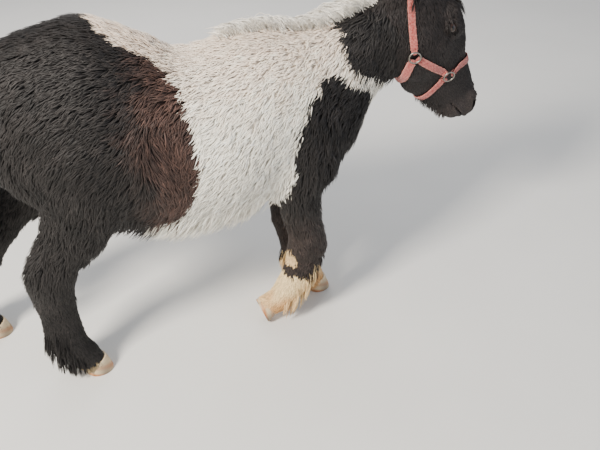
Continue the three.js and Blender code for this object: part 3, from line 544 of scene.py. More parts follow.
EYES = {}
NOSES = {}
for name, side in (("left", 1), ("right", -1)):
    surface, along, up, out = face_frame((-131, 42, 80), -0.25, side)
    EYES[name] = (surface - out * 9.0, along, up, out)
    NOSES[name] = face_frame((152, 36, 60), -0.5, side)
MOUTH_FROM = on_head(104, -30)
MOUTH_TO = on_head(196, -2)
MOUTH_NORMAL = unit(np.cross(MOUTH_TO - MOUTH_FROM, HEAD_SIDE))


def local(points, frame_of):
    centre, along, up, out = frame_of
    off = points - centre
    return off @ along, off @ up, off @ out


def mouth_reach(points):
    """How far each point is from the mouth's plane, and 1 along its line, 0 past its corner."""
    line, _, _ = head_places(points)
    return (points - MOUTH_FROM) @ MOUTH_NORMAL, ease(line, 96, 112)


def refine(obj, wanted):
    """Splits the faces whose centres are wanted."""
    mesh = bmesh.new()
    mesh.from_mesh(obj.data)
    mesh.faces.ensure_lookup_table()
    centres = np.array([f.calc_center_median() for f in mesh.faces])
    chosen = np.flatnonzero(wanted(centres))
    edges = {e for i in chosen for e in mesh.faces[i].edges}
    bmesh.ops.subdivide_edges(mesh, edges=list(edges), cuts=1, use_grid_fill=True)
    mesh.to_mesh(obj.data)
    mesh.free()


def near_detail(reach):
    def wanted(points):
        found = np.zeros(len(points), bool)
        for centre, _, _, _ in (*EYES.values(), *NOSES.values()):
            found |= np.linalg.norm(points - centre, axis=1) < reach
        gap, along = mouth_reach(points)
        return found | ((np.abs(gap) < 0.3 * reach) & (along > 0.3))

    return wanted


def on_whole_head(points):
    line, _, _ = head_places(points)
    return (line > -290) & of_head(points, 10)


MUZZLE_PULL = 9.0
LIP_SWELL = 2.2
LIP_AT = 8.0
MOUTH_DEPTH = 6.5
NOSTRIL_LONG = 12.5
NOSTRIL_HIGH = 6.6
NOSTRIL_DEPTH = 12.0
NOSTRIL_RIM = 3.2
LID_LONG = 17.5
UPPER_LID = 10.5
LOWER_LID = 8.5
LID_THICK = 2.6
LID_CREASE = 1.8
LID_WRINKLE = 1.1


def sculpt_face(points):
    """Lids round the eyes, hollows for the nostrils, the line of the mouth and the lips."""
    p = points.copy()
    out_of_head = slope(head_field, p)
    gap, along = mouth_reach(p)
    line, rise, _ = head_places(p)
    p -= HEAD_UP * (MUZZLE_PULL * ease(line, 70, 150) * ease(rise, -20, 50))[:, None]
    lips = LIP_SWELL * bell(np.abs(gap) - LIP_AT, 5) - MOUTH_DEPTH * bell(gap, 1.9)
    p += out_of_head * (lips * along)[:, None]
    for nose in NOSES.values():
        x, y, z = local(p, nose)
        y = y + 0.035 * x**2 - 2
        q = (x / NOSTRIL_LONG) ** 2 + (y / NOSTRIL_HIGH) ** 2
        rim = NOSTRIL_RIM * bell(np.sqrt(q) - 1.35, 0.38)
        hollow = NOSTRIL_DEPTH * (1 - ease(q, 0.45, 1.25))
        p += nose[3] * np.where(np.abs(z) < 30, rim - hollow, 0)[:, None]
    for eye in EYES.values():
        x, y, z = local(p, eye)
        near = (z > -8) & (x**2 + y**2 < 46**2)
        q = np.sqrt((x / LID_LONG) ** 2 + (y / np.where(y > 0, UPPER_LID, LOWER_LID)) ** 2)
        flat = x**2 + y**2
        ball = np.sqrt(np.maximum((EYE_RADIUS + LID_THICK) ** 2 - flat, 30))
        under = np.sqrt(np.maximum((EYE_RADIUS - 5) ** 2 - flat, 4)) - 3
        lid = lerp(ball, z, ease(q, 1.35, 2.2))
        crease = -LID_CREASE * bell(q - 1.75, 0.16) * np.where(y > 0, 1, 0.75)
        wrinkle = -LID_WRINKLE * bell(q - 2.35, 0.15) * ease(-y, 2, 12)
        target = np.where(q < 1, lerp(under, ball, ease(q, 0.86, 1.0)), lid + crease + wrinkle)
        p += eye[3] * np.where(near, (target - z), 0)[:, None]
    return p


EAR_LONG = 98.0
EAR_HALF_WIDE = 23.5


def ear_shell(side):
    """A leaf-shaped cup, open to the front and the side."""
    root = on_head(-240, 82, 44 * side)
    up = unit(-0.86 * HEAD_LINE + 0.34 * HEAD_UP + 0.32 * side * HEAD_SIDE)
    way = level(HEAD_UP + 0.75 * side * HEAD_SIDE, up)
    across = np.cross(up, way)
    outer = np.radians(np.linspace(-118, 118, 19))
    inner = np.radians(np.linspace(106, -106, 15))
    count = 26
    loops = []
    for i in range(count):
        t = i / count
        half = EAR_HALF_WIDE * math.sin(math.pi * (0.24 + 0.76 * t)) ** 0.8 * (1 - 0.25 * t)
        wall = 3.6 - 1.6 * t
        centre = root + up * EAR_LONG * (t - 0.14) - way * 6 * t * t
        rings = []
        for turn, width in ((outer, half), (inner, half - wall)):
            wave = 1 + 0.04 * np.sin(3 * turn + 5 * t)
            ring = centre + np.outer(width * wave * np.sin(turn), across)
            rings.append(ring - np.outer(0.8 * width * np.cos(turn), way))
        loops.append(np.vstack(rings))
    tip = root + up * EAR_LONG * 0.88 - way * 6
    return tube(loops, tip)


def tube(loops, tip=None):
    """Points and faces of a closed tube through the loops."""
    sides = len(loops[0])
    points = np.vstack([*loops, loops[0].mean(0), loops[-1].mean(0) if tip is None else tip])
    faces = []
    for s in range(sides):
        t = (s + 1) % sides
        faces.append((len(points) - 2, t, s))
        for i in range(len(loops) - 1):
            a, b = i * sides, (i + 1) * sides
            faces.append((a + s, a + t, b + t, b + s))
        last = (len(loops) - 1) * sides
        faces.append((len(points) - 1, last + s, last + t))
    return points, faces


def loop_faces(rows, sides, closed=False):
    """Four-sided faces between rows of points, each row a loop. Closed joins the last row to the first."""
    faces = []
    for i in range(rows if closed else rows - 1):
        here, ahead = i * sides, (i + 1) % rows * sides
        for j in range(sides):
            k = (j + 1) % sides
            faces.append((here + j, ahead + j, ahead + k, here + k))
    return faces


def outward(obj, merge=None):
    """Turns all faces outward, and first joins the points that lie closer than merge."""
    mesh = bmesh.new()
    mesh.from_mesh(obj.data)
    if merge:
        bmesh.ops.remove_doubles(mesh, verts=mesh.verts, dist=merge)
    bmesh.ops.recalc_face_normals(mesh, faces=mesh.faces)
    mesh.to_mesh(obj.data)
    mesh.free()
    return obj


def with_modifier(obj, kind, **settings):
    modifier = obj.modifiers.new(kind, kind)
    for key, value in settings.items():
        setattr(modifier, key, value)
    applied = bpy.data.meshes.new_from_object(obj.evaluated_get(bpy.context.evaluated_depsgraph_get()))
    obj.modifiers.clear()
    obj.data = applied


def smoothed(mesh, points, share, rounds, back):
    """Evens out ripples. Every second round is by back, which can undo the shrinking of the first."""
    ends = np.empty(len(mesh.edges) * 2, np.int32)
    mesh.edges.foreach_get("vertices", ends)
    a, b = ends.reshape(-1, 2).T
    number = np.bincount(ends, minlength=len(points))[:, None]
    for i in range(rounds):
        total = np.empty_like(points)
        for k in range(3):
            total[:, k] = np.bincount(a, points[b, k], len(points))
            total[:, k] += np.bincount(b, points[a, k], len(points))
        pull = back if i % 2 else 0.5
        points = points + (total / number - points) * (pull * share)[:, None]
    return points


def make_skin():
    """One skin without a seam: the net, evened out, under the coat's depth, with face and ears."""
    points, faces = net_skin(whole_field, (-700, -260, -8), (910, 260, 1040), SKIN_CELL)
    points = settle(whole_field, points, turns=2)
    obj = mesh_object("skin", points, faces)
    off_face = ease(head_field(points) - body_field(points), -10, 30) * ease(points[:, 2], 40, 90)
    points = smoothed(obj.data, points, off_face, 18, -0.52)
    points = smoothed(obj.data, points, off_face * ease(points[:, 2], 470, 600), 60, 0.5)
    move_points(obj.data, points)
    for wanted in (on_whole_head, near_detail(48), near_detail(36)):
        refine(obj, wanted)
        points = coords_of(obj.data)
        head = on_whole_head(points)
        points[head] = settle(whole_field, points[head], turns=2)
        move_points(obj.data, points)
    points -= normals_of(obj.data) * coat_depth(points)[:, None]
    head = on_whole_head(points)
    points[head] = sculpt_face(points[head])
    move_points(obj.data, points)
    for side in (1, -1):
        ear = outward(mesh_object("ear_shell", *ear_shell(side)))
        with_modifier(obj, "BOOLEAN", operation="UNION", solver="MANIFOLD", object=ear)
        bpy.data.objects.remove(ear)
    obj.data.shade_smooth()
    return obj


# Markings, the same for skin and coat
def srgb(*values):
    c = np.array(values, float) / 255
    return np.where(c <= 0.04045, c / 12.92, ((c + 0.055) / 1.055) ** 2.4)


BLACK = srgb(29, 26, 25)
BLACK_FACE = srgb(33, 28, 27)
BROWN = srgb(62, 45, 39)
WHITE = srgb(248, 242, 228)
WHITE_BACK = srgb(240, 214, 192)
MANE_WHITE = srgb(250, 244, 232)
SOCK = srgb(244, 214, 162)
TAN = srgb(198, 136, 74)
MUZZLE = srgb(52, 45, 43)
LEG_BROWN = srgb(46, 38, 35)
TRUNK_AXIS_Z = 620.0

# The front edges of the black and of the brown on the hindquarters: turn round the trunk (0 at the top,
# positive on the right side, in degrees) and place along it
HAUNCH_EDGE = [
    (-180, -75), (-150, -90), (-120, -120), (-95, -100), (-70, -75), (-45, -100), (-28, -150), (-12, -195),
    (0, -195), (8, -185), (17, -165), (22, -72), (30, -45), (39, -22), (55, -12), (64, -6), (80, 2),
    (92, 10), (112, -8), (124, -24), (136, -48), (140, -100), (150, -120), (165, -95), (180, -75),
]
BROWN_EDGE = [(19, -85), (37, -100), (53, -120), (70, -130), (88, -128), (105, -118), (119, -105), (134, -90)]
# Height and place along, for the black face, the cream patch and the rear of the black chest. The chest's
# top edge is the other way round.
FACE_EDGE = [(655, 600), (690, 577), (714, 537), (730, 492), (755, 466), (790, 450), (1000, 448)]
CREAM_EDGE = [(196, 262), (210, 276), (228, 276), (246, 258)]
CHEST_TOP = [
    (200, 560), (300, 690), (318, 702), (345, 718), (365, 745),
    (388, 753), (443, 722), (504, 690), (560, 660),
]
CHEST_REAR = [
    (300, 215), (407, 227), (444, 234), (484, 253), (586, 269),
    (636, 285), (672, 302), (702, 318), (760, 340),
]
SOCK_TOP_RIGHT = 164.0
SOCK_TOP_LEFT = 150.0
# Hair with more red than this counts as white
PALE = 0.3


def edge(table, at):
    xs, ys = np.array(table, float).T
    return np.interp(at, xs, ys)


def markings(points):
    """The coat's colour at each point, as linear red, green and blue."""
    rough = 7 * waves(points, 34, 3) + 4 * waves(points, 13, 4)
    x, y, z = points.T
    turn = np.degrees(np.arctan2(-y, z - TRUNK_AXIS_Z))
    right = y < 0
    warm = ease(z + 3 * rough, 640, 880)[:, None]
    colour = lerp(WHITE, WHITE_BACK, warm * 0.75)
    haunch = x + rough < edge(HAUNCH_EDGE, turn)
    hind = np.minimum(HIND_RIGHT.field(points), HIND_LEFT.field(points)) < 12
    hind &= z < 470
    haunch |= hind
    brown = ease(x + 2.5 * rough, edge(BROWN_EDGE, turn) - 70, edge(BROWN_EDGE, turn) + 40)
    brown *= ease(turn, 14, 26) * (1 - ease(turn, 138, 146)) * (x > -230)
    dark = lerp(BLACK, BROWN, brown[:, None])
    colour[haunch] = dark[haunch]
    face = (x + rough > edge(FACE_EDGE, z) + np.where(right, 0, 25)) & (z > 600)
    chest_x = edge(CHEST_REAR, z) + np.where(right, 0, 35)
    chest = (x - rough > chest_x) & (z + rough < edge(CHEST_TOP, x) - np.where(right, 0, 40)) & (x < 560)
    stripe = (np.abs(y + 12) < 34) & (z > 560) & (x > 430)
    chest &= ~stripe
    fore = (np.minimum(FORE_RIGHT.field(points), FORE_LEFT.field(points)) < 14) & (z < 420) & (x > 130)
    colour[chest & (x > 200)] = BLACK
    colour[fore] = lerp(BLACK, LEG_BROWN, ease(z, 430, 300)[:, None])[fore]
    cream = fore & right & (z > 196) & (z < 246) & (x + rough < edge(CREAM_EDGE, z))
    colour[cream] = lerp(SOCK, TAN, 0.25)
    colour[face] = BLACK
    on_face = of_head(points)
    colour[on_face] = BLACK_FACE
    line, _, _ = head_places(points)
    muzzle = np.where(on_face, ease(line + 0.6 * rough, 92, 128), 0)
    colour = lerp(colour, MUZZLE, muzzle[:, None])
    sock = fore & (z + 1.1 * rough < np.where(right, SOCK_TOP_RIGHT, SOCK_TOP_LEFT))
    stain = ease(1.5 * rough + z, 130, 40)[:, None] * 0.75
    colour[sock] = lerp(SOCK, TAN, stain)[sock]
    foot = hind & (z + rough < 34)
    colour[foot] = lerp(BLACK, SOCK, 0.35)
    return colour


# Strands and tufts: closed, tapered, three-sided or four-sided blades with a tip
SECTIONS = {3: np.array([(-1, 0), (1, 0), (0, 1)]), 4: np.array([(-1, 0), (0, -1), (1, 0), (0, 1)])}


def strand_mesh(name, paths, outs, width, thick, colour, uv=None, sides=3, normals=None):
    n, k, _ = paths.shape
    along = unit(np.gradient(paths, axis=1))
    outs = level(np.broadcast_to(outs, paths.shape), along)
    across = np.cross(along, outs)
    section = SECTIONS[sides]
    ring_w = width[:, : k - 1, None, None] / 2 * section[:, 0][None, None, :, None]
    ring_t = thick[:, : k - 1, None, None] * section[:, 1][None, None, :, None]
    rings = paths[:, : k - 1, None] + across[:, : k - 1, None] * ring_w + outs[:, : k - 1, None] * ring_t
    per = (k - 1) * sides + 1
    points = np.concatenate([rings.reshape(n, -1, 3), paths[:, -1:]], axis=1)
    tris = []
    for i in range(k - 2):
        for s in range(sides):
            t = (s + 1) % sides
            a, b, c, d = i * sides + s, i * sides + t, (i + 1) * sides + t, (i + 1) * sides + s
            tris += [(a, c, b), (a, d, c)]
    last = (k - 2) * sides
    tris += [(last + s, per - 1, last + (s + 1) % sides) for s in range(sides)]
    tris += [(0, i, i + 1) for i in range(1, sides - 1)]
    tris = (np.array(tris)[None] + (np.arange(n) * per)[:, None, None]).reshape(-1)
    station = np.append(np.repeat(np.arange(k - 1), sides), k - 1)
    mesh = bpy.data.meshes.new(name)
    mesh.vertices.add(n * per)
    mesh.vertices.foreach_set("co", to_world(points.reshape(-1, 3)).astype(np.float32).ravel())
    mesh.loops.add(len(tris))
    mesh.loops.foreach_set("vertex_index", tris.astype(np.int32))
    mesh.polygons.add(len(tris) // 3)
    mesh.polygons.foreach_set("loop_start", np.arange(0, len(tris), 3, dtype=np.int32))
    mesh.update(calc_edges=True)
    mesh.shade_smooth()
    tint = colour if colour.ndim == 3 else np.repeat(colour[:, None], k, axis=1)
    store_colour(mesh, tint[:, station].reshape(-1, 3))
    if uv is None:
        side_at = np.modf(np.arange(n) * 0.618)[0]
        uv = np.c_[side_at, np.modf(np.arange(n) * 0.755)[0]] * 0.99
    patch = np.c_[np.append(np.tile(section[:, 0], k - 1), 0) * 0.0015, station / (k - 1) * 0.003 - 0.0015]
    layer = mesh.uv_layers.new(name="OFBake")
    all_uv = (uv[:, None] + patch[None]).reshape(-1, 2)
    layer.data.foreach_set("uv", all_uv[tris].astype(np.float32).ravel())
    if normals is not None:
        own = normals_of(mesh)
        soft = unit(0.55 * np.repeat(normals, per, axis=0) + 0.45 * own)
        mesh.normals_split_custom_set_from_vertices([tuple(v) for v in soft])
    obj = bpy.data.objects.new(name, mesh)
    bpy.context.scene.collection.objects.link(obj)
    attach(obj, "root")
    return obj


def nearest_tree(points):
    tree = KDTree(len(points))
    for i, point in enumerate(points.tolist()):
        tree.insert(point, i)
    tree.balance()
    return tree


def nearest(tree, points):
    return np.array([tree.find(point)[1] for point in points.tolist()])


class Surface:
    """The skin's triangles, to draw roots from, with the bake map's place of each."""

    def __init__(self, obj):
        mesh = obj.data
        mesh.calc_loop_triangles()
        count = len(mesh.loop_triangles)
        corners = np.empty(count * 3, np.int32)
        loops = np.empty(count * 3, np.int32)
        mesh.loop_triangles.foreach_get("vertices", corners)
        mesh.loop_triangles.foreach_get("loops", loops)
        self.corners = corners.reshape(-1, 3)
        uv = np.empty(len(mesh.loops) * 2, np.float32)
        mesh.uv_layers["OFBake"].data.foreach_get("uv", uv)
        self.uv = uv.reshape(-1, 2)[loops.reshape(-1, 3)]
        self.points = coords_of(mesh)
        self.normals = normals_of(mesh)
        p = self.points[self.corners]
        facing = np.cross(p[:, 1] - p[:, 0], p[:, 2] - p[:, 0])
        self.area = np.linalg.norm(facing, axis=1) / 2
        self.facing = unit(facing)
        self.centres = p.mean(1)
        self.tree = nearest_tree(self.centres)

    def bake_place(self, points):
        return self.uv[nearest(self.tree, points)].mean(1)

    def scatter(self, wanted, spacing, seed):
        """Roots where wanted is more than 0, one to each square of the spacing."""
        draw = np.random.default_rng(seed)
        share = wanted * self.area / np.broadcast_to(spacing, self.area.shape) ** 2
        total = np.cumsum(share)
        picks = np.searchsorted(total, np.arange(draw.uniform(), total[-1], 1.0))
        a, b = draw.uniform(size=(2, len(picks)))
        over = a + b > 1
        a[over], b[over] = 1 - a[over], 1 - b[over]
        mix = np.c_[1 - a - b, a, b][..., None]
        points = (self.points[self.corners[picks]] * mix).sum(1)
        normals = unit((self.normals[self.corners[picks]] * mix).sum(1))
        return points, normals, (self.uv[picks] * mix).sum(1)


def lie(points, normals):
    """The way that the coat lies at each point: from the head to the tail and the feet."""
    limbs = [(TRUNK, -1), (NECK, -1), (SKULL, 1), (DOCK, 1), *((leg, 1) for leg in LEGS)]
    fields = np.array([limb.field(points) for limb, _ in limbs])
    weights = np.exp(-(fields - fields.min(0)) / 22)
    way = np.zeros_like(points)
    for (limb, sign), weight in zip(limbs, weights):
        way += limb.row(limb.near(points))[1] * (sign * weight)[:, None]
    way = unit(way) + [0, 0, -0.55]
    turn = np.degrees(np.arctan2(-points[:, 1], points[:, 2] - TRUNK_AXIS_Z))
    swirl = bell(points[:, 0] + 95, 75) * bell(turn - 92, 38)
    way += swirl[:, None] * [1.5, 0, -0.6]
    return level(way, normals)


# The least height of a tuft's points over the floor, and the most triangles of a coat piece
FLOOR_GAP = 1.5
MOST_TRIANGLES = 199000


def tufts(
    name, roots, normals, uv, long, wide, lift, seed,
    bend=0.25, stations=2, way=None, clump=15.0, gather=0.5, vary=0.14,
):
    """Closed tufts at the roots, drawn together into clumps, in pieces of one colour each."""
    draw = np.random.default_rng(seed)
    n = len(roots)
    way = lie(roots, normals) if way is None else way
    side = np.cross(normals, way)
    swing = waves(roots, 42, seed + 1) * 0.16
    way = unit(way + side * (draw.normal(0, 0.16, n) + swing)[:, None])
    centres = roots[draw.uniform(size=n) < (4.2 / clump) ** 2]
    member = nearest(nearest_tree(centres), roots)
    colour = markings(roots)
    pale = colour[:, 0] > PALE
    pull = across_of(centres[member] - roots, normals) * (gather * np.where(pale, 0.7, 1.0))[:, None]
    long = long * draw.uniform(0.72, 1.25, n)
    wide = wide * draw.uniform(0.75, 1.3, n)
    lift = lift * draw.uniform(0.6, 1.2, n) * draw.uniform(0.75, 1.25, len(centres))[member]
    bent = draw.normal(0, bend, n) * long * 0.4
    k = stations + 1
    paths = np.stack(
        [
            roots - normals * 1.2 * (1 - t)
            + way * (long * t)[:, None]
            + normals * (lift * math.sin(t * 1.9))[:, None]
            + side * (bent * t * t)[:, None]
            + pull * t**1.4
            for t in np.linspace(0, 1, k)
        ],
        axis=1,
    )
    paths[..., 2] = np.maximum(paths[..., 2], FLOOR_GAP)
    width = wide[:, None] * np.array([0.85, 1.0, 0.72, 0.4][:k] if k > 3 else [0.85, 1.0, 0.5])
    patches = 1 + vary * waves(roots, 75, seed + 3)
    of_clump = draw.normal(1, vary, len(centres))[member]
    tone = draw.normal(1, 0.09, n) * np.where(pale, 1 + 0.2 * (of_clump - 1), of_clump * patches)
    colour *= np.clip(tone, 0.35, 2.5)[:, None]
    # Each tuft is darker at its root than at its tip: painted shade deep in the coat. The lighter tips of
    # dark hair are sun-bleached.
    root_painted_shade = np.where(pale, 0.84, 0.5)[:, None]
    tip_tone = np.where(pale[:, None], 1.05, 1.15 + draw.exponential(0.4, (n, 1)))
    root_shade_to_tip = lerp(root_painted_shade, tip_tone, np.linspace(0, 1, k))
    colour = np.minimum(colour[:, None] * root_shade_to_tip[:, :, None], 0.96)
    limit = MOST_TRIANGLES // (6 * (k - 2) + 4)
    for shade, chosen in (("white", np.flatnonzero(pale)), ("black", np.flatnonzero(~pale))):
        for i, start in enumerate(range(0, len(chosen), limit)):
            part = chosen[start : start + limit]
            label = f"{name}_{shade}" if len(chosen) <= limit else f"{name}_{shade}_{i + 1}"
            out, across = normals[part], width[part]
            obj = strand_mesh(
                label, paths[part], out[:, None], across, across * 0.3, colour[part], uv[part], normals=out
            )


def zones(points):
    """Which of the points are in each zone of the coat."""
    line, _, _ = head_places(points)
    on_face = of_head(points)
    ear = on_face & (whole_field(points) > 6)
    low = points[:, 2] < 240
    dock = DOCK.field(points) < np.minimum(body_field(points), head_field(points))
    bare = np.zeros(len(points), bool)
    for name in FEET:
        sole, _, _, foot_up = foot_frame(name)
        bare |= (np.linalg.norm(points - sole, axis=1) < 90) & ((points - sole) @ foot_up < 17)
    for eye in EYES.values():
        x, y, _ = local(points, eye)
        bare |= on_face & ((x / 19) ** 2 + (y / 12) ** 2 < 1) & (np.linalg.norm(points - eye[0], axis=1) < 40)
    for nose in NOSES.values():
        bare |= on_face & (np.linalg.norm(points - nose[0], axis=1) < 12)
    gap, along = mouth_reach(points)
    bare |= on_face & (np.abs(gap) < 2.5) & (along > 0.4)
    face = on_face & ~ear & ~bare
    return {
        "body": ~on_face & ~low & ~dock,
        "legs": ~on_face & low & ~bare,
        "face": face & (line < 150),
        "ear": ear,
    }


def make_coat(surface):
    """Tufts on the body, legs, face and ears, finest on the face and feet."""
    c = surface.centres
    zone = zones(c)
    line, _, _ = head_places(c)
    spacing = 4.85 - 0.85 * ease(c[:, 2], 420, 260)
    roots, normals, uv = surface.scatter(zone["body"], spacing, 101)
    depth = coat_depth(roots)
    dark = markings(roots)[:, 0] < PALE
    neck = dark * ease(roots[:, 0], 400, 470)
    flank = dark * bell(roots[:, 0] + 120, 130) * ease(roots[:, 2], 760, 640)
    long = 14 + 1.3 * depth + 6 * dark + 9 * neck + 7 * flank
    bend = 0.25 + 0.25 * neck
    tufts("coat_body", roots, normals, uv, long, 2.9 + 0.5 * dark, 0.9 * depth, 102, bend, clump=17.0)
    roots, normals, uv = surface.scatter(zone["legs"], 3.3, 111)
    tufts("coat_legs", roots, normals, uv, 13.0, 2.4, 3.6, 112, clump=9.0, gather=0.4)
    spacing = lerp(3.5, 2.6, ease(line, -200, 60))
    roots, normals, uv = surface.scatter(zone["face"], spacing, 121)
    depth = coat_depth(roots)
    long = 4.5 + 2.9 * depth
    bend = 0.25 + 0.1 * ease(depth, 4, 6)
    wide = 1.6 + 0.15 * depth
    tufts("coat_face", roots, normals, uv, long, wide, 0.85 * depth, 122, bend, clump=10.0, gather=0.45)
    roots, normals, uv = surface.scatter(zone["ear"], 2.9, 131)
    rise = level(unit(-0.86 * HEAD_LINE + 0.34 * HEAD_UP)[None], normals)
    tufts("coat_ears", roots, normals, uv, 10.0, 2.2, 1.8, 132, way=rise, clump=8.0, gather=0.3)


def unwrap(obj):
    bpy.context.view_layer.objects.active = obj
    obj.select_set(True)
    obj.data.uv_layers.new(name="OFBake")
    bpy.ops.object.mode_set(mode="EDIT")
    bpy.ops.mesh.select_all(action="SELECT")
    bpy.ops.uv.smart_project(angle_limit=math.radians(66), island_margin=0.002)
    bpy.ops.object.mode_set(mode="OBJECT")
    obj.select_set(False)


def finish_skin(obj):
    """Paints the skin darker than its coat, as painted shade, and puts it in its place."""
    points = coords_of(obj.data)
    colour = markings(points)
    # The skin is darker than the coat over it: painted shade in the gaps between the tufts.
    colour *= lerp(0.6, 0.85, colour[:, :1])
    store_colour(obj.data, colour)
    move_points(obj.data, to_world(points))
    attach(obj, "root")


# Long hair, in strands gathered into locks
def hang(roots, way, long, steps, field, height, weight, drag):
    """Paths that leave their roots one way, turn towards the ground, and lie over the field."""
    p = np.array(roots, float)
    way = unit(way)
    paths = [p]
    for i in range(1, steps):
        t = i / (steps - 1)
        way = unit(way + drag * (weight * (0.3 + t)))
        p = p + way * (long / (steps - 1))[:, None]
        here = field(p)
        low = here < height * t
        if low.any():
            q = p[low]
            q = q + slope(field, q) * (height[low] * t - here[low])[:, None]
            p[low] = q
            moved = unit(p - paths[-1])
            way[low] = moved[low]
        paths.append(p)
    return np.stack(paths, axis=1)


def gathered(guides, count, spread, seed, gather=0.75):
    """Strands round each guide path, wide at the root and drawn together towards the tip."""
    draw = np.random.default_rng(seed)
    n, k, _ = guides.shape
    t = np.linspace(0, 1, k)
    start = draw.normal(size=(n, count, 3)) * spread
    wander = draw.normal(size=(n, count, 3)) * spread * 0.5
    pull = (1 - gather * ease(t, 0, 0.85))[None, None, :, None]
    wave = np.sin(t * draw.uniform(3, 7, (n, count, 1)) + draw.uniform(0, 6, (n, count, 1)))[..., None]
    stray = wander[:, :, None] * wave * t[None, None, :, None] * 0.5
    paths = guides[:, None] + start[:, :, None] * pull + stray
    cut = draw.uniform(0.72, 1.0, (n, count))
    place = t[None, None] * cut[..., None] * (k - 1)
    i = np.minimum(place.astype(int), k - 2)
    w = (place - i)[..., None]
    here = np.take_along_axis(paths, i[..., None], axis=2)
    ahead = np.take_along_axis(paths, i[..., None] + 1, axis=2)
    return lerp(here, ahead, w).reshape(n * count, k, 3)


def hair(name, surface, paths, wide, colour, seed):
    """One piece of long hair along the paths, each strand with its root's place on the bake map."""
    draw = np.random.default_rng(seed)
    n, k, _ = paths.shape
    t = np.linspace(0, 1, k)
    width = wide * draw.uniform(0.6, 1.3, (n, 1)) * (1 - 0.75 * t**1.5)[None]
    # Each strand is darker at its root than at its tip: painted shade under the hair that lies over it.
    tone = draw.normal(1, 0.09, (n, 1, 1)) * np.linspace(0.82, 1.06, k)[None, :, None]
    colour = np.broadcast_to(colour, (n, 3))[:, None] * tone
    outs = unit(draw.normal(size=(n, 1, 3)) * [1, 1, 0.2])
    obj = strand_mesh(name, paths, outs, width, width * 0.5, colour, surface.bake_place(paths[:, 0]))
    return obj


CREST_FROM = np.array([122.0, 0, 880])
CREST_TO = np.array([560.0, 0, 978])


def make_mane(surface):
    """Locks that rise from the crest and fall to the far side, with a short near edge."""
    draw = np.random.default_rng(201)
    count = 230
    strands = 11
    share = np.linspace(0, 1.04, count) + draw.normal(0, 0.01, count)
    crest = lerp(CREST_FROM, CREST_TO, share[:, None])
    roots = settle(body_field, crest, -6) + draw.normal(size=(count, 3)) * [3, 7, 0]
    near = (draw.uniform(size=count) < 0.3) & (share < 0.9)
    tall = lerp(70, 250, ease(share, 0, 0.5)) * draw.uniform(0.8, 1.1, count)
    tall = np.where(near, 0.19 * tall + 16, tall)
    lean = np.where(near, -0.3, 1.15) + draw.normal(0, 0.14, count)
    way = np.c_[draw.normal(-0.42, 0.14, count), lean, np.full(count, 0.85)]
    drag = np.where(near[:, None], [-0.12, -0.1, -0.35], [-0.1, 0.2, -1.15])
    guides = hang(roots, way, tall, 9, body_field, np.full(count, 13.0), 0.6, drag)
    paths = gathered(guides, strands, 6.5, 202, 0.5)
    wide = np.where(np.repeat(near, strands), 1.7, 2.6)[:, None]
    hair("mane", surface, paths, wide, MANE_WHITE, 203)


def make_forelock(surface):
    """Locks from between the ears, down the forehead."""
    draw = np.random.default_rng(211)
    count = 60
    side = draw.uniform(-26, 26, count)
    roots = np.array([on_head(-246 + draw.uniform(-12, 14), 78, s) for s in side])
    roots = settle(head_field, roots, -5)
    way = HEAD_UP * 0.7 + HEAD_LINE * 0.6 + HEAD_SIDE * (side * 0.012 + draw.normal(0, 0.1, count))[:, None]
    long = draw.uniform(80, 165, count) * (1 - 0.006 * np.abs(side))
    drag = HEAD_LINE * 0.9 - HEAD_UP * 0.25
    guides = hang(roots, way, long, 10, head_field, np.full(count, 9.0), 0.5, drag)
    paths = gathered(guides, 8, 4.0, 212, 0.65)
    hair("forelock", surface, paths, 2.6, BLACK_FACE * 1.1, 213)


def make_wisps(surface):
    """Longer hair beside the poll, which falls over the crown strap."""
    draw = np.random.default_rng(261)
    count = 44
    share = draw.uniform(0.3, 1.0, count)
    side = np.where(np.arange(count) % 2, 1, -1)
    strap = spline(STRAPS["halter_crown"][1], share * 0.9)
    roots = np.array([on_head(a - 12, b + 24, c * s) for (a, b, c), s in zip(strap, side)])
    roots = settle(worn_field, roots + draw.normal(0, 5, (count, 3)), -4)
    way = HEAD_LINE * 0.7 - HEAD_UP * 0.7 + draw.normal(0, 0.2, (count, 3))
    long = draw.uniform(30, 58, count)
    guides = hang(roots, way, long, 8, worn_field, np.full(count, 9.5), 0.45, np.array([-0.25, 0, -1.0]))
    paths = gathered(guides, 6, 2.4, 262, 0.6)
    hair("poll_hair", surface, paths, 1.9, BLACK_FACE * 1.2, 263)


def make_tail(surface):
    """Long hair from all round the dock, which hangs in one tapering fall."""
    draw = np.random.default_rng(221)
    count = 110
    share = draw.uniform(0.12, 0.95, count)
    turn = draw.uniform(0, 2 * math.pi, count)
    at = DOCK.row(share)[0]
    out = np.c_[np.cos(turn), np.sin(turn), np.zeros(count)]
    roots = settle(DOCK.field, at + out * 15, -4)
    end = lerp(300, 172, share) + draw.normal(0, 16, count)
    levels = []
    for low, high, drop in ((0.5, 1, 0.4), (0.4, 0.95, 0.75), (0.1, 0.7, 1.0)):
        most = draw.uniform(low, high, count)
        levels.append(np.c_[-592 + 26 * drop + 27 * out[:, 0] * most, -16 * drop + 44 * out[:, 1] * most])
    hip, knee, tip = levels
    guides = []
    for i in range(count):
        z = roots[i, 2]
        knots = [
            roots[i],
            [*lerp(roots[i, :2], hip[i], 0.6), lerp(z, end[i], 0.2)],
            [*hip[i], lerp(z, end[i], 0.45)],
            [*knee[i], lerp(z, end[i], 0.76)],
            [*tip[i], end[i]],
        ]
        guides.append(spline(knots, np.linspace(0, 1, 10)))
    paths = gathered(np.array(guides), 15, 6.5, 222, 0.35)
    obj = hair("tail_hair", surface, paths, 2.6, BLACK * 1.15, 223)
    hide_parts("tail")


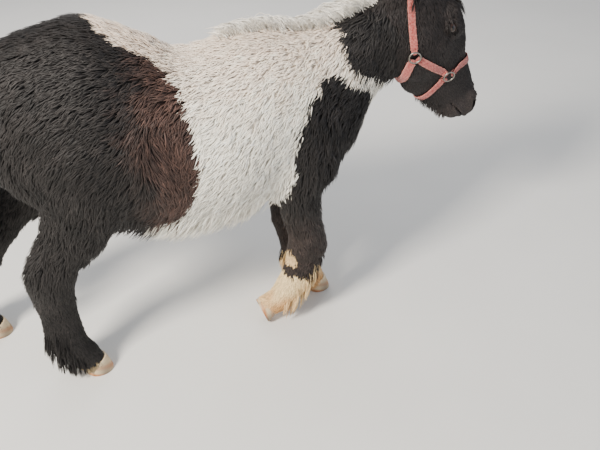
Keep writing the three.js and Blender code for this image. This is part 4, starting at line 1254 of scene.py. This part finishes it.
def make_feather(surface):
    """The long hair behind each fetlock, and up the back of the bent fore leg."""
    for name, leg in zip(FEET, LEGS):
        bent = name == "fore_right"
        draw = np.random.default_rng(230 + len(name))
        count = 95
        strands = 7
        share = draw.uniform(0.5, 0.8, count) if bent else draw.uniform(0.64, 0.82, count)
        turn = draw.uniform(-0.5, 0.5, count) * math.pi
        at, along, across, up, _ = leg.row(share)
        out = (up if bent else -up) * np.cos(turn)[:, None] + across * np.sin(turn)[:, None]
        roots = settle(leg.field, at + out * 40, -5)
        long = draw.uniform(34, 82, count) * (0.75 + 0.25 * np.cos(turn))
        long *= lerp(0.6, 1, ease(share, 0.5, 0.66))
        long = np.minimum(long, np.maximum(roots[:, 2] - 8, 12))
        way = out * 0.55 + along * 0.7 - UP * 0.3
        drag = np.array([-0.35, 0, -1.0]) if bent else np.array([0, 0, -1.0])
        guides = hang(roots, way, long, 7, leg.field, np.full(count, 6.0), 0.55, drag * 0.8)
        paths = gathered(guides, strands, 3.0, 231, 0.6)
        paths[..., 2] = np.maximum(paths[..., 2], 2 * FLOOR_GAP)
        shade = markings(np.repeat(roots, strands, axis=0)) * 1.05
        if bent:
            streak = (draw.uniform(size=len(shade)) < 0.35) & (np.repeat(share, strands) > 0.54)
            shade[streak] = SOCK * 0.9
        hair(f"feather_{name}", surface, paths, 2.4, shade, 232)


def make_fringe(surface):
    """The longer hair under the belly, and the beard under the jaw."""
    c = surface.centres
    down = -surface.facing[:, 2]
    under = (c[:, 0] > -190) & (c[:, 0] < 215) & (c[:, 2] < 470)
    under &= (np.abs(c[:, 1]) < 180) & (body_field(c) < -6)
    roots, normals, uv = surface.scatter(under * ease(down, 0.25, 0.8), 9.5, 241)
    way = unit(lie(roots, normals) + [0, 0, -0.9])
    tufts("belly_fringe", roots, normals, uv, 58.0, 5.0, 6.0, 242, stations=4, way=way, clump=20.0)
    line, up, _ = head_places(c)
    jaw = of_head(c, 0) & (line > 30) & (line < 136) & (up < -18)
    roots, normals, uv = surface.scatter(jaw * ease(down, 0.1, 0.7), 4.6, 251)
    way = unit(lie(roots, normals) * 0.4 + [-0.35, 0, -0.9])
    tufts("beard", roots, normals, uv, 17.0, 2.4, 1.5, 252, stations=4, way=way, clump=9.0)


# Halter
def worn_field(points):
    return np.minimum(head_field(points), body_field(points))


RING_RADIUS = 16.0
RING_WIRE = 2.3
RINGS = {"cheek": (-126, -90, 80), "nose": (1, -13, 55)}
STRAPS = {
    "halter_crown": ("cheek", [(-200, -62, 77), (-250, -38, 68), (-290, -14, 48), (-303, 8, 0)], 19.5),
    "halter_nose": ("nose", [(4, 32, 48), (15, 64, 28), (20, 80, 0)], 19.0),
    "halter_chin": ("nose", [(22, -60, 48), (36, -88, 32), (44, -108, 0)], 19.0),
    "halter_throat": ("cheek", [(-90, -120, 62), (-62, -134, 36), (-50, -140, 0)], 23.0),
}
STRAP_LIFT = 2.8
STRAP_THICK = 2.6


def sided(place, side):
    return (place[0], place[1], place[2] * side)


def toward(start, end, reach=22.0):
    start, end = np.array(start, float), np.array(end, float)
    return tuple(lerp(start, end, reach / np.linalg.norm(end - start)))


def strap_rows(places):
    """Even steps along a strap that lies on the coat: place, along, across and length so far."""
    knots = settle(worn_field, np.array([on_head(*p) for p in places]), STRAP_LIFT)
    dense = spline(knots, np.linspace(0, 1, 300))
    length = np.append(0, np.cumsum(np.linalg.norm(np.diff(dense, axis=0), axis=1)))
    steps = np.linspace(0, length[-1], int(length[-1] / 3.5))
    at = np.stack([np.interp(steps, length, dense[:, i]) for i in range(3)], axis=1)
    at = settle(worn_field, at, STRAP_LIFT)
    out = slope(worn_field, at)
    along = level(np.gradient(at, axis=0), out)
    return at, along, np.cross(out, along), steps


def band_mesh(name, rows, width, slots=14, seed=1):
    """A flat band with rounded edges, with its own along and across places for the weave."""
    at, _, across, along_mm = rows
    shares = np.linspace(-0.5, 0.5, slots)
    wear = 0.5 * waves(at, 9, seed) + 0.35 * waves(at, 3.5, seed + 1)
    w = width + wear
    under = at[:, None] + across[:, None] * (shares[None, :, None] * w[:, None, None])
    flat = settle(worn_field, under.reshape(-1, 3), STRAP_LIFT)
    out = slope(worn_field, flat).reshape(under.shape)
    under = flat.reshape(under.shape)
    edge_t = 1 - np.abs(2 * shares) ** 8
    over = under + out * (STRAP_THICK * (0.45 + 0.55 * edge_t))[None, :, None]
    base = under + out * (STRAP_THICK * (0.3 - 0.3 * edge_t))[None, :, None]
    loops = np.concatenate([base, over[:, ::-1]], axis=1)
    return sweep(name, loops, np.concatenate([shares, shares[::-1]]) * width, along_mm)


def sweep(name, loops, across_mm, along_mm):
    """A closed band through the loops, which keeps its own places for the weave."""
    points, faces = tube(list(loops))
    obj = outward(mesh_object(name, to_world(points), faces))
    weave = np.zeros((len(points), 3))
    sides = loops.shape[1]
    weave[:-2, 0] = np.repeat(along_mm, sides)
    weave[:-2, 1] = np.tile(across_mm, len(along_mm))
    weave[-2:, 0] = along_mm[0], along_mm[-1]
    stored = obj.data.attributes.new("weave", "FLOAT_VECTOR", "POINT")
    stored.data.foreach_set("vector", weave.astype(np.float32).ravel())
    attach(obj, "root")
    return obj


def fray(name, rows, width, seed):
    """Loose threads along a strap's two edges."""
    draw = np.random.default_rng(seed)
    at, along, across, _ = rows
    count = len(at) * 3
    pick = draw.integers(0, len(at), count)
    side = np.where(draw.uniform(size=count) < 0.5, 1.0, -1.0)[:, None]
    out = slope(worn_field, at)[pick]
    roots = at[pick] + across[pick] * side * (width / 2 - 1.2) + out * draw.uniform(0.2, 2.4, (count, 1))
    roots += along[pick] * draw.uniform(-1.7, 1.7, (count, 1))
    way = across[pick] * side + along[pick] * draw.normal(0, 0.6, (count, 1))
    way = unit(way + out * draw.normal(0.15, 0.3, (count, 1)))
    long = draw.uniform(1.5, 4.2, (count, 1))
    bow = along[pick] * long * 0.3
    paths = np.stack([roots + way * long * t + bow * t * t for t in (0, 0.5, 1)], axis=1)
    wide = np.full((count, 3), 0.5)
    shade = lerp(srgb(214, 110, 96), srgb(244, 190, 172), draw.uniform(size=(count, 1)))
    obj = strand_mesh(name, paths, out[:, None], wide, wide * 0.6, shade)


def ring_frame(kind, side):
    """A ring's middle, and the ways along, across and out from the head."""
    at = settle(head_field, on_head(*sided(RINGS[kind], side))[None], 10.0)
    out = slope(head_field, at)[0]
    along = level(HEAD_LINE, out)
    return at[0], along, np.cross(out, along), out


def ring_mesh(name, frame_of):
    centre, along, across, out = frame_of
    points = []
    n, m = 56, 14
    for a in np.linspace(0, 2 * math.pi, n + 1)[:-1]:
        way = along * math.cos(a) + across * math.sin(a)
        for b in np.linspace(0, 2 * math.pi, m + 1)[:-1]:
            reach = RING_RADIUS + RING_WIRE * math.cos(b)
            points.append(centre + way * reach + out * RING_WIRE * math.sin(b))
    obj = outward(mesh_object(name, to_world(points), loop_faces(n, m, True)))
    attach(obj, "root")
    return obj


# The path of a strap's folded end: from the ring's middle along the strap, and out from the head
FOLD_PATH = [(20, 3.4), (16, 4.6), (12.2, 3.2), (11, 0.0), (12.4, -3.4), (16.5, -4.6), (20, -4.4)]
FOLD_STEPS = 34


def fold(name, ring, end, width):
    """The strap's end: up over the ring's wire, through the ring and back under itself."""
    centre, _, _, out = ring
    way = unit(end - centre)
    across = np.cross(out, way)
    reach = np.linalg.norm(end - centre)
    side_path = [(reach + 7, -2.0), (reach, 0.6), *FOLD_PATH, (reach + 2, -4.6)]
    t = np.linspace(0, 1, FOLD_STEPS)
    path = spline([centre + way * a + out * b for a, b in side_path], t)
    along = unit(np.gradient(path, axis=0))
    face = np.cross(along, across)
    face *= np.sign(face[0] @ out)
    narrow = 1 - 0.2 * bell(t - 0.45, 0.2)
    shares = np.linspace(-0.5, 0.5, 10)
    flat = path[:, None] + across * (shares[None, :, None] * (width * narrow)[:, None, None])
    flat = flat - (1 - (2 * shares) ** 2)[None, :, None] * way * 2.2 * bell(t - 0.45, 0.25)[:, None, None]
    loops = np.concatenate([flat - face[:, None] * 0.9, (flat + face[:, None] * 0.9)[:, ::-1]], axis=1)
    length = np.append(0, np.cumsum(np.linalg.norm(np.diff(path, axis=0), axis=1)))
    return sweep(name, loops, np.concatenate([shares, shares[::-1]]) * width, length)


def make_halter():
    """Rings, straps with frayed edges and folded ends, and cheek pieces. Returns the webbing."""
    webbing = []
    rings = {(kind, side): ring_frame(kind, side) for kind in RINGS for side in (1, -1)}
    label = {1: "left", -1: "right"}
    for (kind, side), frame_of in rings.items():
        obj = ring_mesh(f"ring_{kind}_{label[side]}", frame_of)
        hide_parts(f"halter_ring_{kind}_{label[side]}")
    for seed, (node, (kind, half, width)) in enumerate(STRAPS.items()):
        half = [toward(RINGS[kind], half[0]), *half]
        places = [sided(p, -1) for p in half] + half[-2::-1]
        rows = strap_rows(places)
        obj = band_mesh(node.replace("halter", "strap"), rows, width, seed=300 + seed)
        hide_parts(node)
        webbing.append(obj)
        fray(f"fray_{node[7:]}", rows, width, 340 + seed)
        for side, end in ((-1, rows[0][0]), (1, rows[0][-1])):
            webbing.append(fold(f"{obj.name}_fold_{label[side]}", rings[kind, side], end, width * 0.86))
    for side in (1, -1):
        cheek, nose = sided(RINGS["cheek"], side), sided(RINGS["nose"], side)
        middle = tuple(lerp(np.array(cheek, float), np.array(nose, float), 0.5))
        rows = strap_rows([toward(cheek, nose), middle, toward(nose, cheek)])
        obj = band_mesh(f"strap_cheek_{label[side]}", rows, 21.0, seed=320 + side)
        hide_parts(f"halter_cheek_{label[side]}")
        webbing.append(obj)
        fray(f"fray_cheek_{label[side]}", rows, 21.0, 350 + side)
        for kind, end in (("cheek", rows[0][0]), ("nose", rows[0][-1])):
            webbing.append(fold(f"{obj.name}_fold_{kind}", rings[kind, side], end, 19.0))
    return webbing


# Eyes and hooves
IRIS = srgb(44, 26, 17)
PUPIL = srgb(6, 6, 8)
EYE_WHITE = srgb(22, 15, 13)
IRIS_RADIUS = 12.5
PUPIL_LONG = 6.8
PUPIL_HIGH = 3.4


def eye_colour(x, y, turn, front):
    """A dark iris with streaks, and a long level pupil."""
    if front and (x / PUPIL_LONG) ** 2 + (y / PUPIL_HIGH) ** 2 < 1:
        return PUPIL
    if math.hypot(x, y) < IRIS_RADIUS:
        return IRIS * (0.75 + 0.35 * math.sin(9 * turn) * math.sin(23 * turn + 1))
    return EYE_WHITE


def make_eyes():
    made = []
    rings, sides = 40, 72
    for name, (centre, along, up, out) in EYES.items():
        points, colour = [], []
        for i in range(rings + 1):
            a = math.pi * i / rings
            for j in range(sides):
                b = 2 * math.pi * j / sides
                x, y = EYE_RADIUS * math.sin(a) * math.cos(b), EYE_RADIUS * math.sin(a) * math.sin(b)
                points.append(centre + along * x + up * y + out * EYE_RADIUS * math.cos(a))
                colour.append(eye_colour(x, y, b, a < 1.6))
        obj = mesh_object(f"eyeball_{name}", to_world(points), loop_faces(rings + 1, sides))
        store_colour(obj.data, colour)
        outward(obj, merge=1e-6)
        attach(obj, "root")
        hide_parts(f"eye_{name}")
        made.append(obj)
    return made


# Sizes of a hoof at the ground and at its top, and its colours
SOLE_TOE = 41.0
SOLE_HEEL = 35.0
SOLE_HALF = 37.0
TOP_TOE = 31.0
TOP_HEEL = 29.0
TOP_HALF = 30.0
HOOF_LEAN = 7.0
HORN = srgb(204, 184, 148)
HORN_BROWN = srgb(178, 108, 56)
HORN_DARK = srgb(92, 78, 70)
HORN_TOP = srgb(226, 204, 168)
SOLE = srgb(92, 76, 62)


def horn_colour(turn, share):
    patch = np.clip(0.35 + 0.5 * np.sin(3 * turn + 9 * share) + 0.6 * (0.35 - share), 0, 1)
    base = lerp(HORN, HORN_BROWN, patch[:, None] * (1 - 0.55 * share))
    base = lerp(base, HORN_DARK, 0.75 * bell(turn - 5.2, 0.5)[:, None] * (1 - 0.7 * share))
    return lerp(base, HORN_TOP, 0.5 * ease(share, 0.7, 1))


def make_hooves():
    """Each hoof: a hollow sole with its frog, and a wall with growth rings, cut at a slant at the top."""
    made = []
    sides = 64
    turn = np.linspace(0, 2 * math.pi, sides + 1)[:-1]
    c, d = np.cos(turn), np.sin(turn)
    slant = (TOE_HIGH - HEEL_HIGH) / 60
    notch = 1 - 0.16 * bell(np.abs(turn - math.pi), 0.2)
    for name in FEET:
        sole, ahead, side, up = foot_frame(name)
        rows, tints = [], []
        for inner, z in ((0.1, 7.0), (0.5, 6.5), (0.8, 5.0), (0.88, 1.6), (0.97, 0.0)):
            frog = 4.5 * bell(d * inner, 0.16) * (c * inner < 0.45) * (inner < 0.9)
            reach = np.where(c > 0, SOLE_TOE, SOLE_HEEL)
            rows.append((reach * c * inner, SOLE_HALF * d * inner, np.maximum(z - frog, 0)))
            tints.append(np.tile(SOLE, (sides, 1)))
        for share in np.linspace(0, 1, 22):
            grown = 0.45 * math.sin(share * 34) * math.sin(math.pi * share) ** 0.5
            worn = share < 0.02
            swell = 1.5 * math.sin(math.pi * share) + grown - 1.2 * worn
            reach = np.where(c > 0, lerp(SOLE_TOE, TOP_TOE, share), lerp(SOLE_HEEL, TOP_HEEL, share))
            x = (reach + grown - 0.8 * worn) * c * notch - HOOF_LEAN * share
            high = TOE_HIGH - slant * (TOP_TOE - HOOF_LEAN - x)
            rows.append((x, (lerp(SOLE_HALF, TOP_HALF, share) + swell) * d, share * high))
            tints.append(horn_colour(turn, share))
        rows.append((0.8 * x - 1, 24 * d, high - 2))
        tints.append(tints[-1])
        loops = [sole + ahead * x[:, None] + side * y[:, None] + up * z[:, None] for x, y, z in rows]
        points, faces = tube(loops)
        obj = outward(mesh_object(f"hoof_{name}", to_world(points), faces))
        store_colour(obj.data, np.vstack([*tints, tints[0][:1], tints[-1][:1]]))
        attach(obj, "root")
        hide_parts(f"{name}_hoof")
        made.append(obj)
    return made


# Materials
class Nodes:
    """A material's nodes, wired into its shader."""

    def __init__(self, name, roughness, **fixed):
        self.material = bpy.data.materials.new(name)
        self.material.use_nodes = True
        self.tree = self.material.node_tree
        self.shader = self.tree.nodes["Principled BSDF"]
        self.shader.inputs["Roughness"].default_value = roughness
        for key, value in fixed.items():
            self.shader.inputs[key.replace("_", " ")].default_value = value

    def feed(self, socket, value):
        """Wires another node's output into the socket, or else sets the socket's own value."""
        if isinstance(value, bpy.types.NodeSocket):
            self.tree.links.new(value, socket)
        else:
            socket.default_value = value

    def add(self, kind, inputs=None, **settings):
        node = self.tree.nodes.new(kind)
        for key, value in settings.items():
            setattr(node, key, value)
        for key, value in (inputs or {}).items():
            self.feed(node.inputs[key], value)
        return node

    def link(self, socket, name):
        self.tree.links.new(socket, self.shader.inputs[name])

    def bump(self, height, strength, distance):
        node = self.add("ShaderNodeBump", {"Height": height, "Strength": strength, "Distance": distance})
        self.link(node.outputs["Normal"], "Normal")

    def noise(self, scale, detail=3.0):
        where = self.add("ShaderNodeTexCoord")
        inputs = {"Vector": where.outputs["Object"], "Scale": scale, "Detail": detail}
        return self.add("ShaderNodeTexNoise", inputs).outputs["Fac"]

    def math(self, operation, a, b=0.0):
        return self.add("ShaderNodeMath", {0: a, 1: b}, operation=operation).outputs[0]

    def scaled(self, value, low, high):
        inputs = {"Value": value, "To Min": low, "To Max": high}
        return self.add("ShaderNodeMapRange", inputs).outputs["Result"]

    def grey(self, tone):
        parts = {"Red": tone, "Green": tone, "Blue": tone}
        return self.add("ShaderNodeCombineColor", parts).outputs["Color"]

    def mix(self, share, a, b, blend="MIX"):
        node = self.add("ShaderNodeMix", {0: share, 6: a, 7: b}, data_type="RGBA", blend_type=blend)
        return node.outputs[2]


def painted_material(name, roughness, fine, strength, vary, **fixed):
    """Takes its colour from the points, with mottled tone and fine bumps."""
    nodes = Nodes(name, roughness, **fixed)
    base = nodes.add("ShaderNodeAttribute", attribute_name="coat").outputs["Color"]
    tone = nodes.scaled(nodes.noise(fine * 0.12), 1 - vary, 1 + vary)
    nodes.link(nodes.mix(1.0, base, nodes.grey(tone), "MULTIPLY"), "Base Color")
    nodes.bump(nodes.noise(fine), strength, 0.0006)
    return nodes.material


WEBBING_RED = (*srgb(172, 42, 40), 1)
WEBBING_FADED_LIT = (*srgb(240, 156, 142), 1)


def webbing_material():
    """A woven band, redder in spots, with pale patches that are partly faded and partly painted highlight,
    and pale, worn edges.
    """
    nodes = Nodes("webbing", 0.8, Sheen_Weight=0.25)
    place = nodes.add("ShaderNodeAttribute", attribute_name="weave").outputs["Vector"]
    parts = nodes.add("ShaderNodeSeparateXYZ", {"Vector": place}).outputs
    along, across = parts["X"], parts["Y"]
    ribs = nodes.math("SINE", nodes.math("MULTIPLY", along, 3.1))
    shifted = nodes.math("ADD", nodes.math("MULTIPLY", across, 2.6), nodes.math("MULTIPLY", ribs, 0.5))
    weave = nodes.math("MULTIPLY", ribs, nodes.math("SINE", shifted))
    # Pale patches: partly real fading, partly painted highlight.
    worn = nodes.scaled(nodes.noise(210.0, 5.0), -0.6, 1.3)
    rim = nodes.math("POWER", nodes.math("ABSOLUTE", nodes.math("MULTIPLY", across, 0.085)), 4.0)
    tone = nodes.mix(nodes.math("ADD", worn, rim), WEBBING_RED, WEBBING_FADED_LIT)
    nodes.link(nodes.mix(1.0, tone, nodes.grey(nodes.scaled(weave, 0.55, 1.12)), "MULTIPLY"), "Base Color")
    nodes.bump(weave, 0.6, 0.0005)
    return nodes.material


def metal_material():
    """Dull plated wire with darker spots."""
    nodes = Nodes("ring_metal", 0.3, Metallic=1.0)
    spots = nodes.noise(300.0)
    nodes.link(nodes.mix(spots, (*srgb(176, 172, 164), 1), (*srgb(92, 84, 76), 1)), "Base Color")
    nodes.link(nodes.scaled(spots, 0.24, 0.55), "Roughness")
    return nodes.material


def paint(objects, material):
    for obj in objects:
        obj.data.materials.clear()
        obj.data.materials.append(material)


# Camera, floor and light
CAMERA_AT = (-377.0, -1940.0, 1491.0)
CAMERA_TURN = math.radians(-20.1)
CAMERA_DOWN = math.radians(31.2)
CAMERA_ROLL = math.radians(-0.3)


def make_camera():
    camera = bpy.data.objects.new("camera", bpy.data.cameras.new("camera"))
    bpy.context.scene.collection.objects.link(camera)
    a, e = CAMERA_TURN, CAMERA_DOWN
    ahead = np.array([-math.sin(a) * math.cos(e), math.cos(a) * math.cos(e), -math.sin(e)])
    right = np.array([math.cos(a), math.sin(a), 0])
    up = np.cross(right, ahead)
    c, s = math.cos(CAMERA_ROLL), math.sin(CAMERA_ROLL)
    right, up = c * right + s * up, c * up - s * right
    turn = Matrix(np.array([right, up, -ahead]).T.tolist()).to_4x4()
    camera.matrix_world = Matrix.Translation(Vector(to_world(CAMERA_AT))) @ turn
    camera.data.lens = 48
    camera.data.sensor_width = 36
    bpy.context.scene.camera = camera


def make_light(name, kind, at, energy, size, colour):
    data = bpy.data.lights.new(name, kind)
    data.energy = energy
    data.color = colour
    data.size = size
    lamp = bpy.data.objects.new(name, data)
    lamp.location = at
    lamp.rotation_euler = (Vector(at) - Vector((0, 0, 0.5))).to_track_quat("Z", "Y").to_euler()
    bpy.context.scene.collection.objects.link(lamp)


FLOOR_HALF = 12.0


def make_studio():
    corners = [(x * FLOOR_HALF, y * FLOOR_HALF, 0) for x, y in ((-1, -1), (1, -1), (1, 1), (-1, 1))]
    floor = mesh_object("floor", corners, [(0, 1, 2, 3)], False)
    nodes = Nodes("floor", 0.9)
    spots = nodes.noise(3.0)
    nodes.link(nodes.mix(spots, (*srgb(222, 220, 215), 1), (*srgb(230, 228, 223), 1)), "Base Color")
    paint([floor], nodes.material)
    make_light("key", "AREA", (-3.0, -2.0, 3.1), 420, 1.0, (1.0, 0.94, 0.85))
    make_light("fill", "AREA", (2.6, -2.8, 1.6), 34, 3.0, (0.82, 0.9, 1.0))
    make_light("back", "AREA", (0.5, 3.0, 2.6), 60, 2.5, (1.0, 0.97, 0.93))
    world = bpy.data.worlds.new("studio")
    world.use_nodes = True
    sky = world.node_tree.nodes["Background"]
    sky.inputs["Color"].default_value = (0.85, 0.9, 1.0, 1)
    sky.inputs["Strength"].default_value = 0.6
    bpy.context.scene.world = world


# The solids that the one skin replaces
FLESH = ["torso", "neck", "head", "ear_left", "ear_right"]
FLESH += [f"{leg}_{part}" for leg in FEET for part in ("upper", "lower")]

make_camera()
skin = make_skin()
unwrap(skin)
surface = Surface(skin)
make_coat(surface)
make_mane(surface)
make_forelock(surface)
make_wisps(surface)
make_tail(surface)
make_feather(surface)
make_fringe(surface)
finish_skin(skin)
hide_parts(*FLESH)
webbing = make_halter()
eyes = make_eyes()
hooves = make_hooves()
make_studio()

paint(webbing, webbing_material())
metal = metal_material()
paint([o for o in bpy.data.objects if o.name.startswith("ring_")] + [frame["nodes"]["halter_buckle"]], metal)
wet = {"Specular_IOR_Level": 0.1, "Coat_Weight": 0.9, "Coat_Roughness": 0.02}
paint(eyes, painted_material("eye", 0.3, 60.0, 0.02, 0.05, **wet))
paint(hooves, painted_material("hoof_horn", 0.5, 260.0, 0.35, 0.14))
paint([skin], painted_material("skin", 0.7, 500.0, 0.5, 0.12, Specular_IOR_Level=0.3))
meshes = [o for o in bpy.data.objects if o.type == "MESH" and not o.data.materials]
hair_pieces = [o for o in meshes if "coat" in o.data.attributes]
soft = {"Specular_IOR_Level": 0.3, "Sheen_Weight": 0.03}
paint(hair_pieces, painted_material("coat", 0.58, 420.0, 0.15, 0.1, **soft))
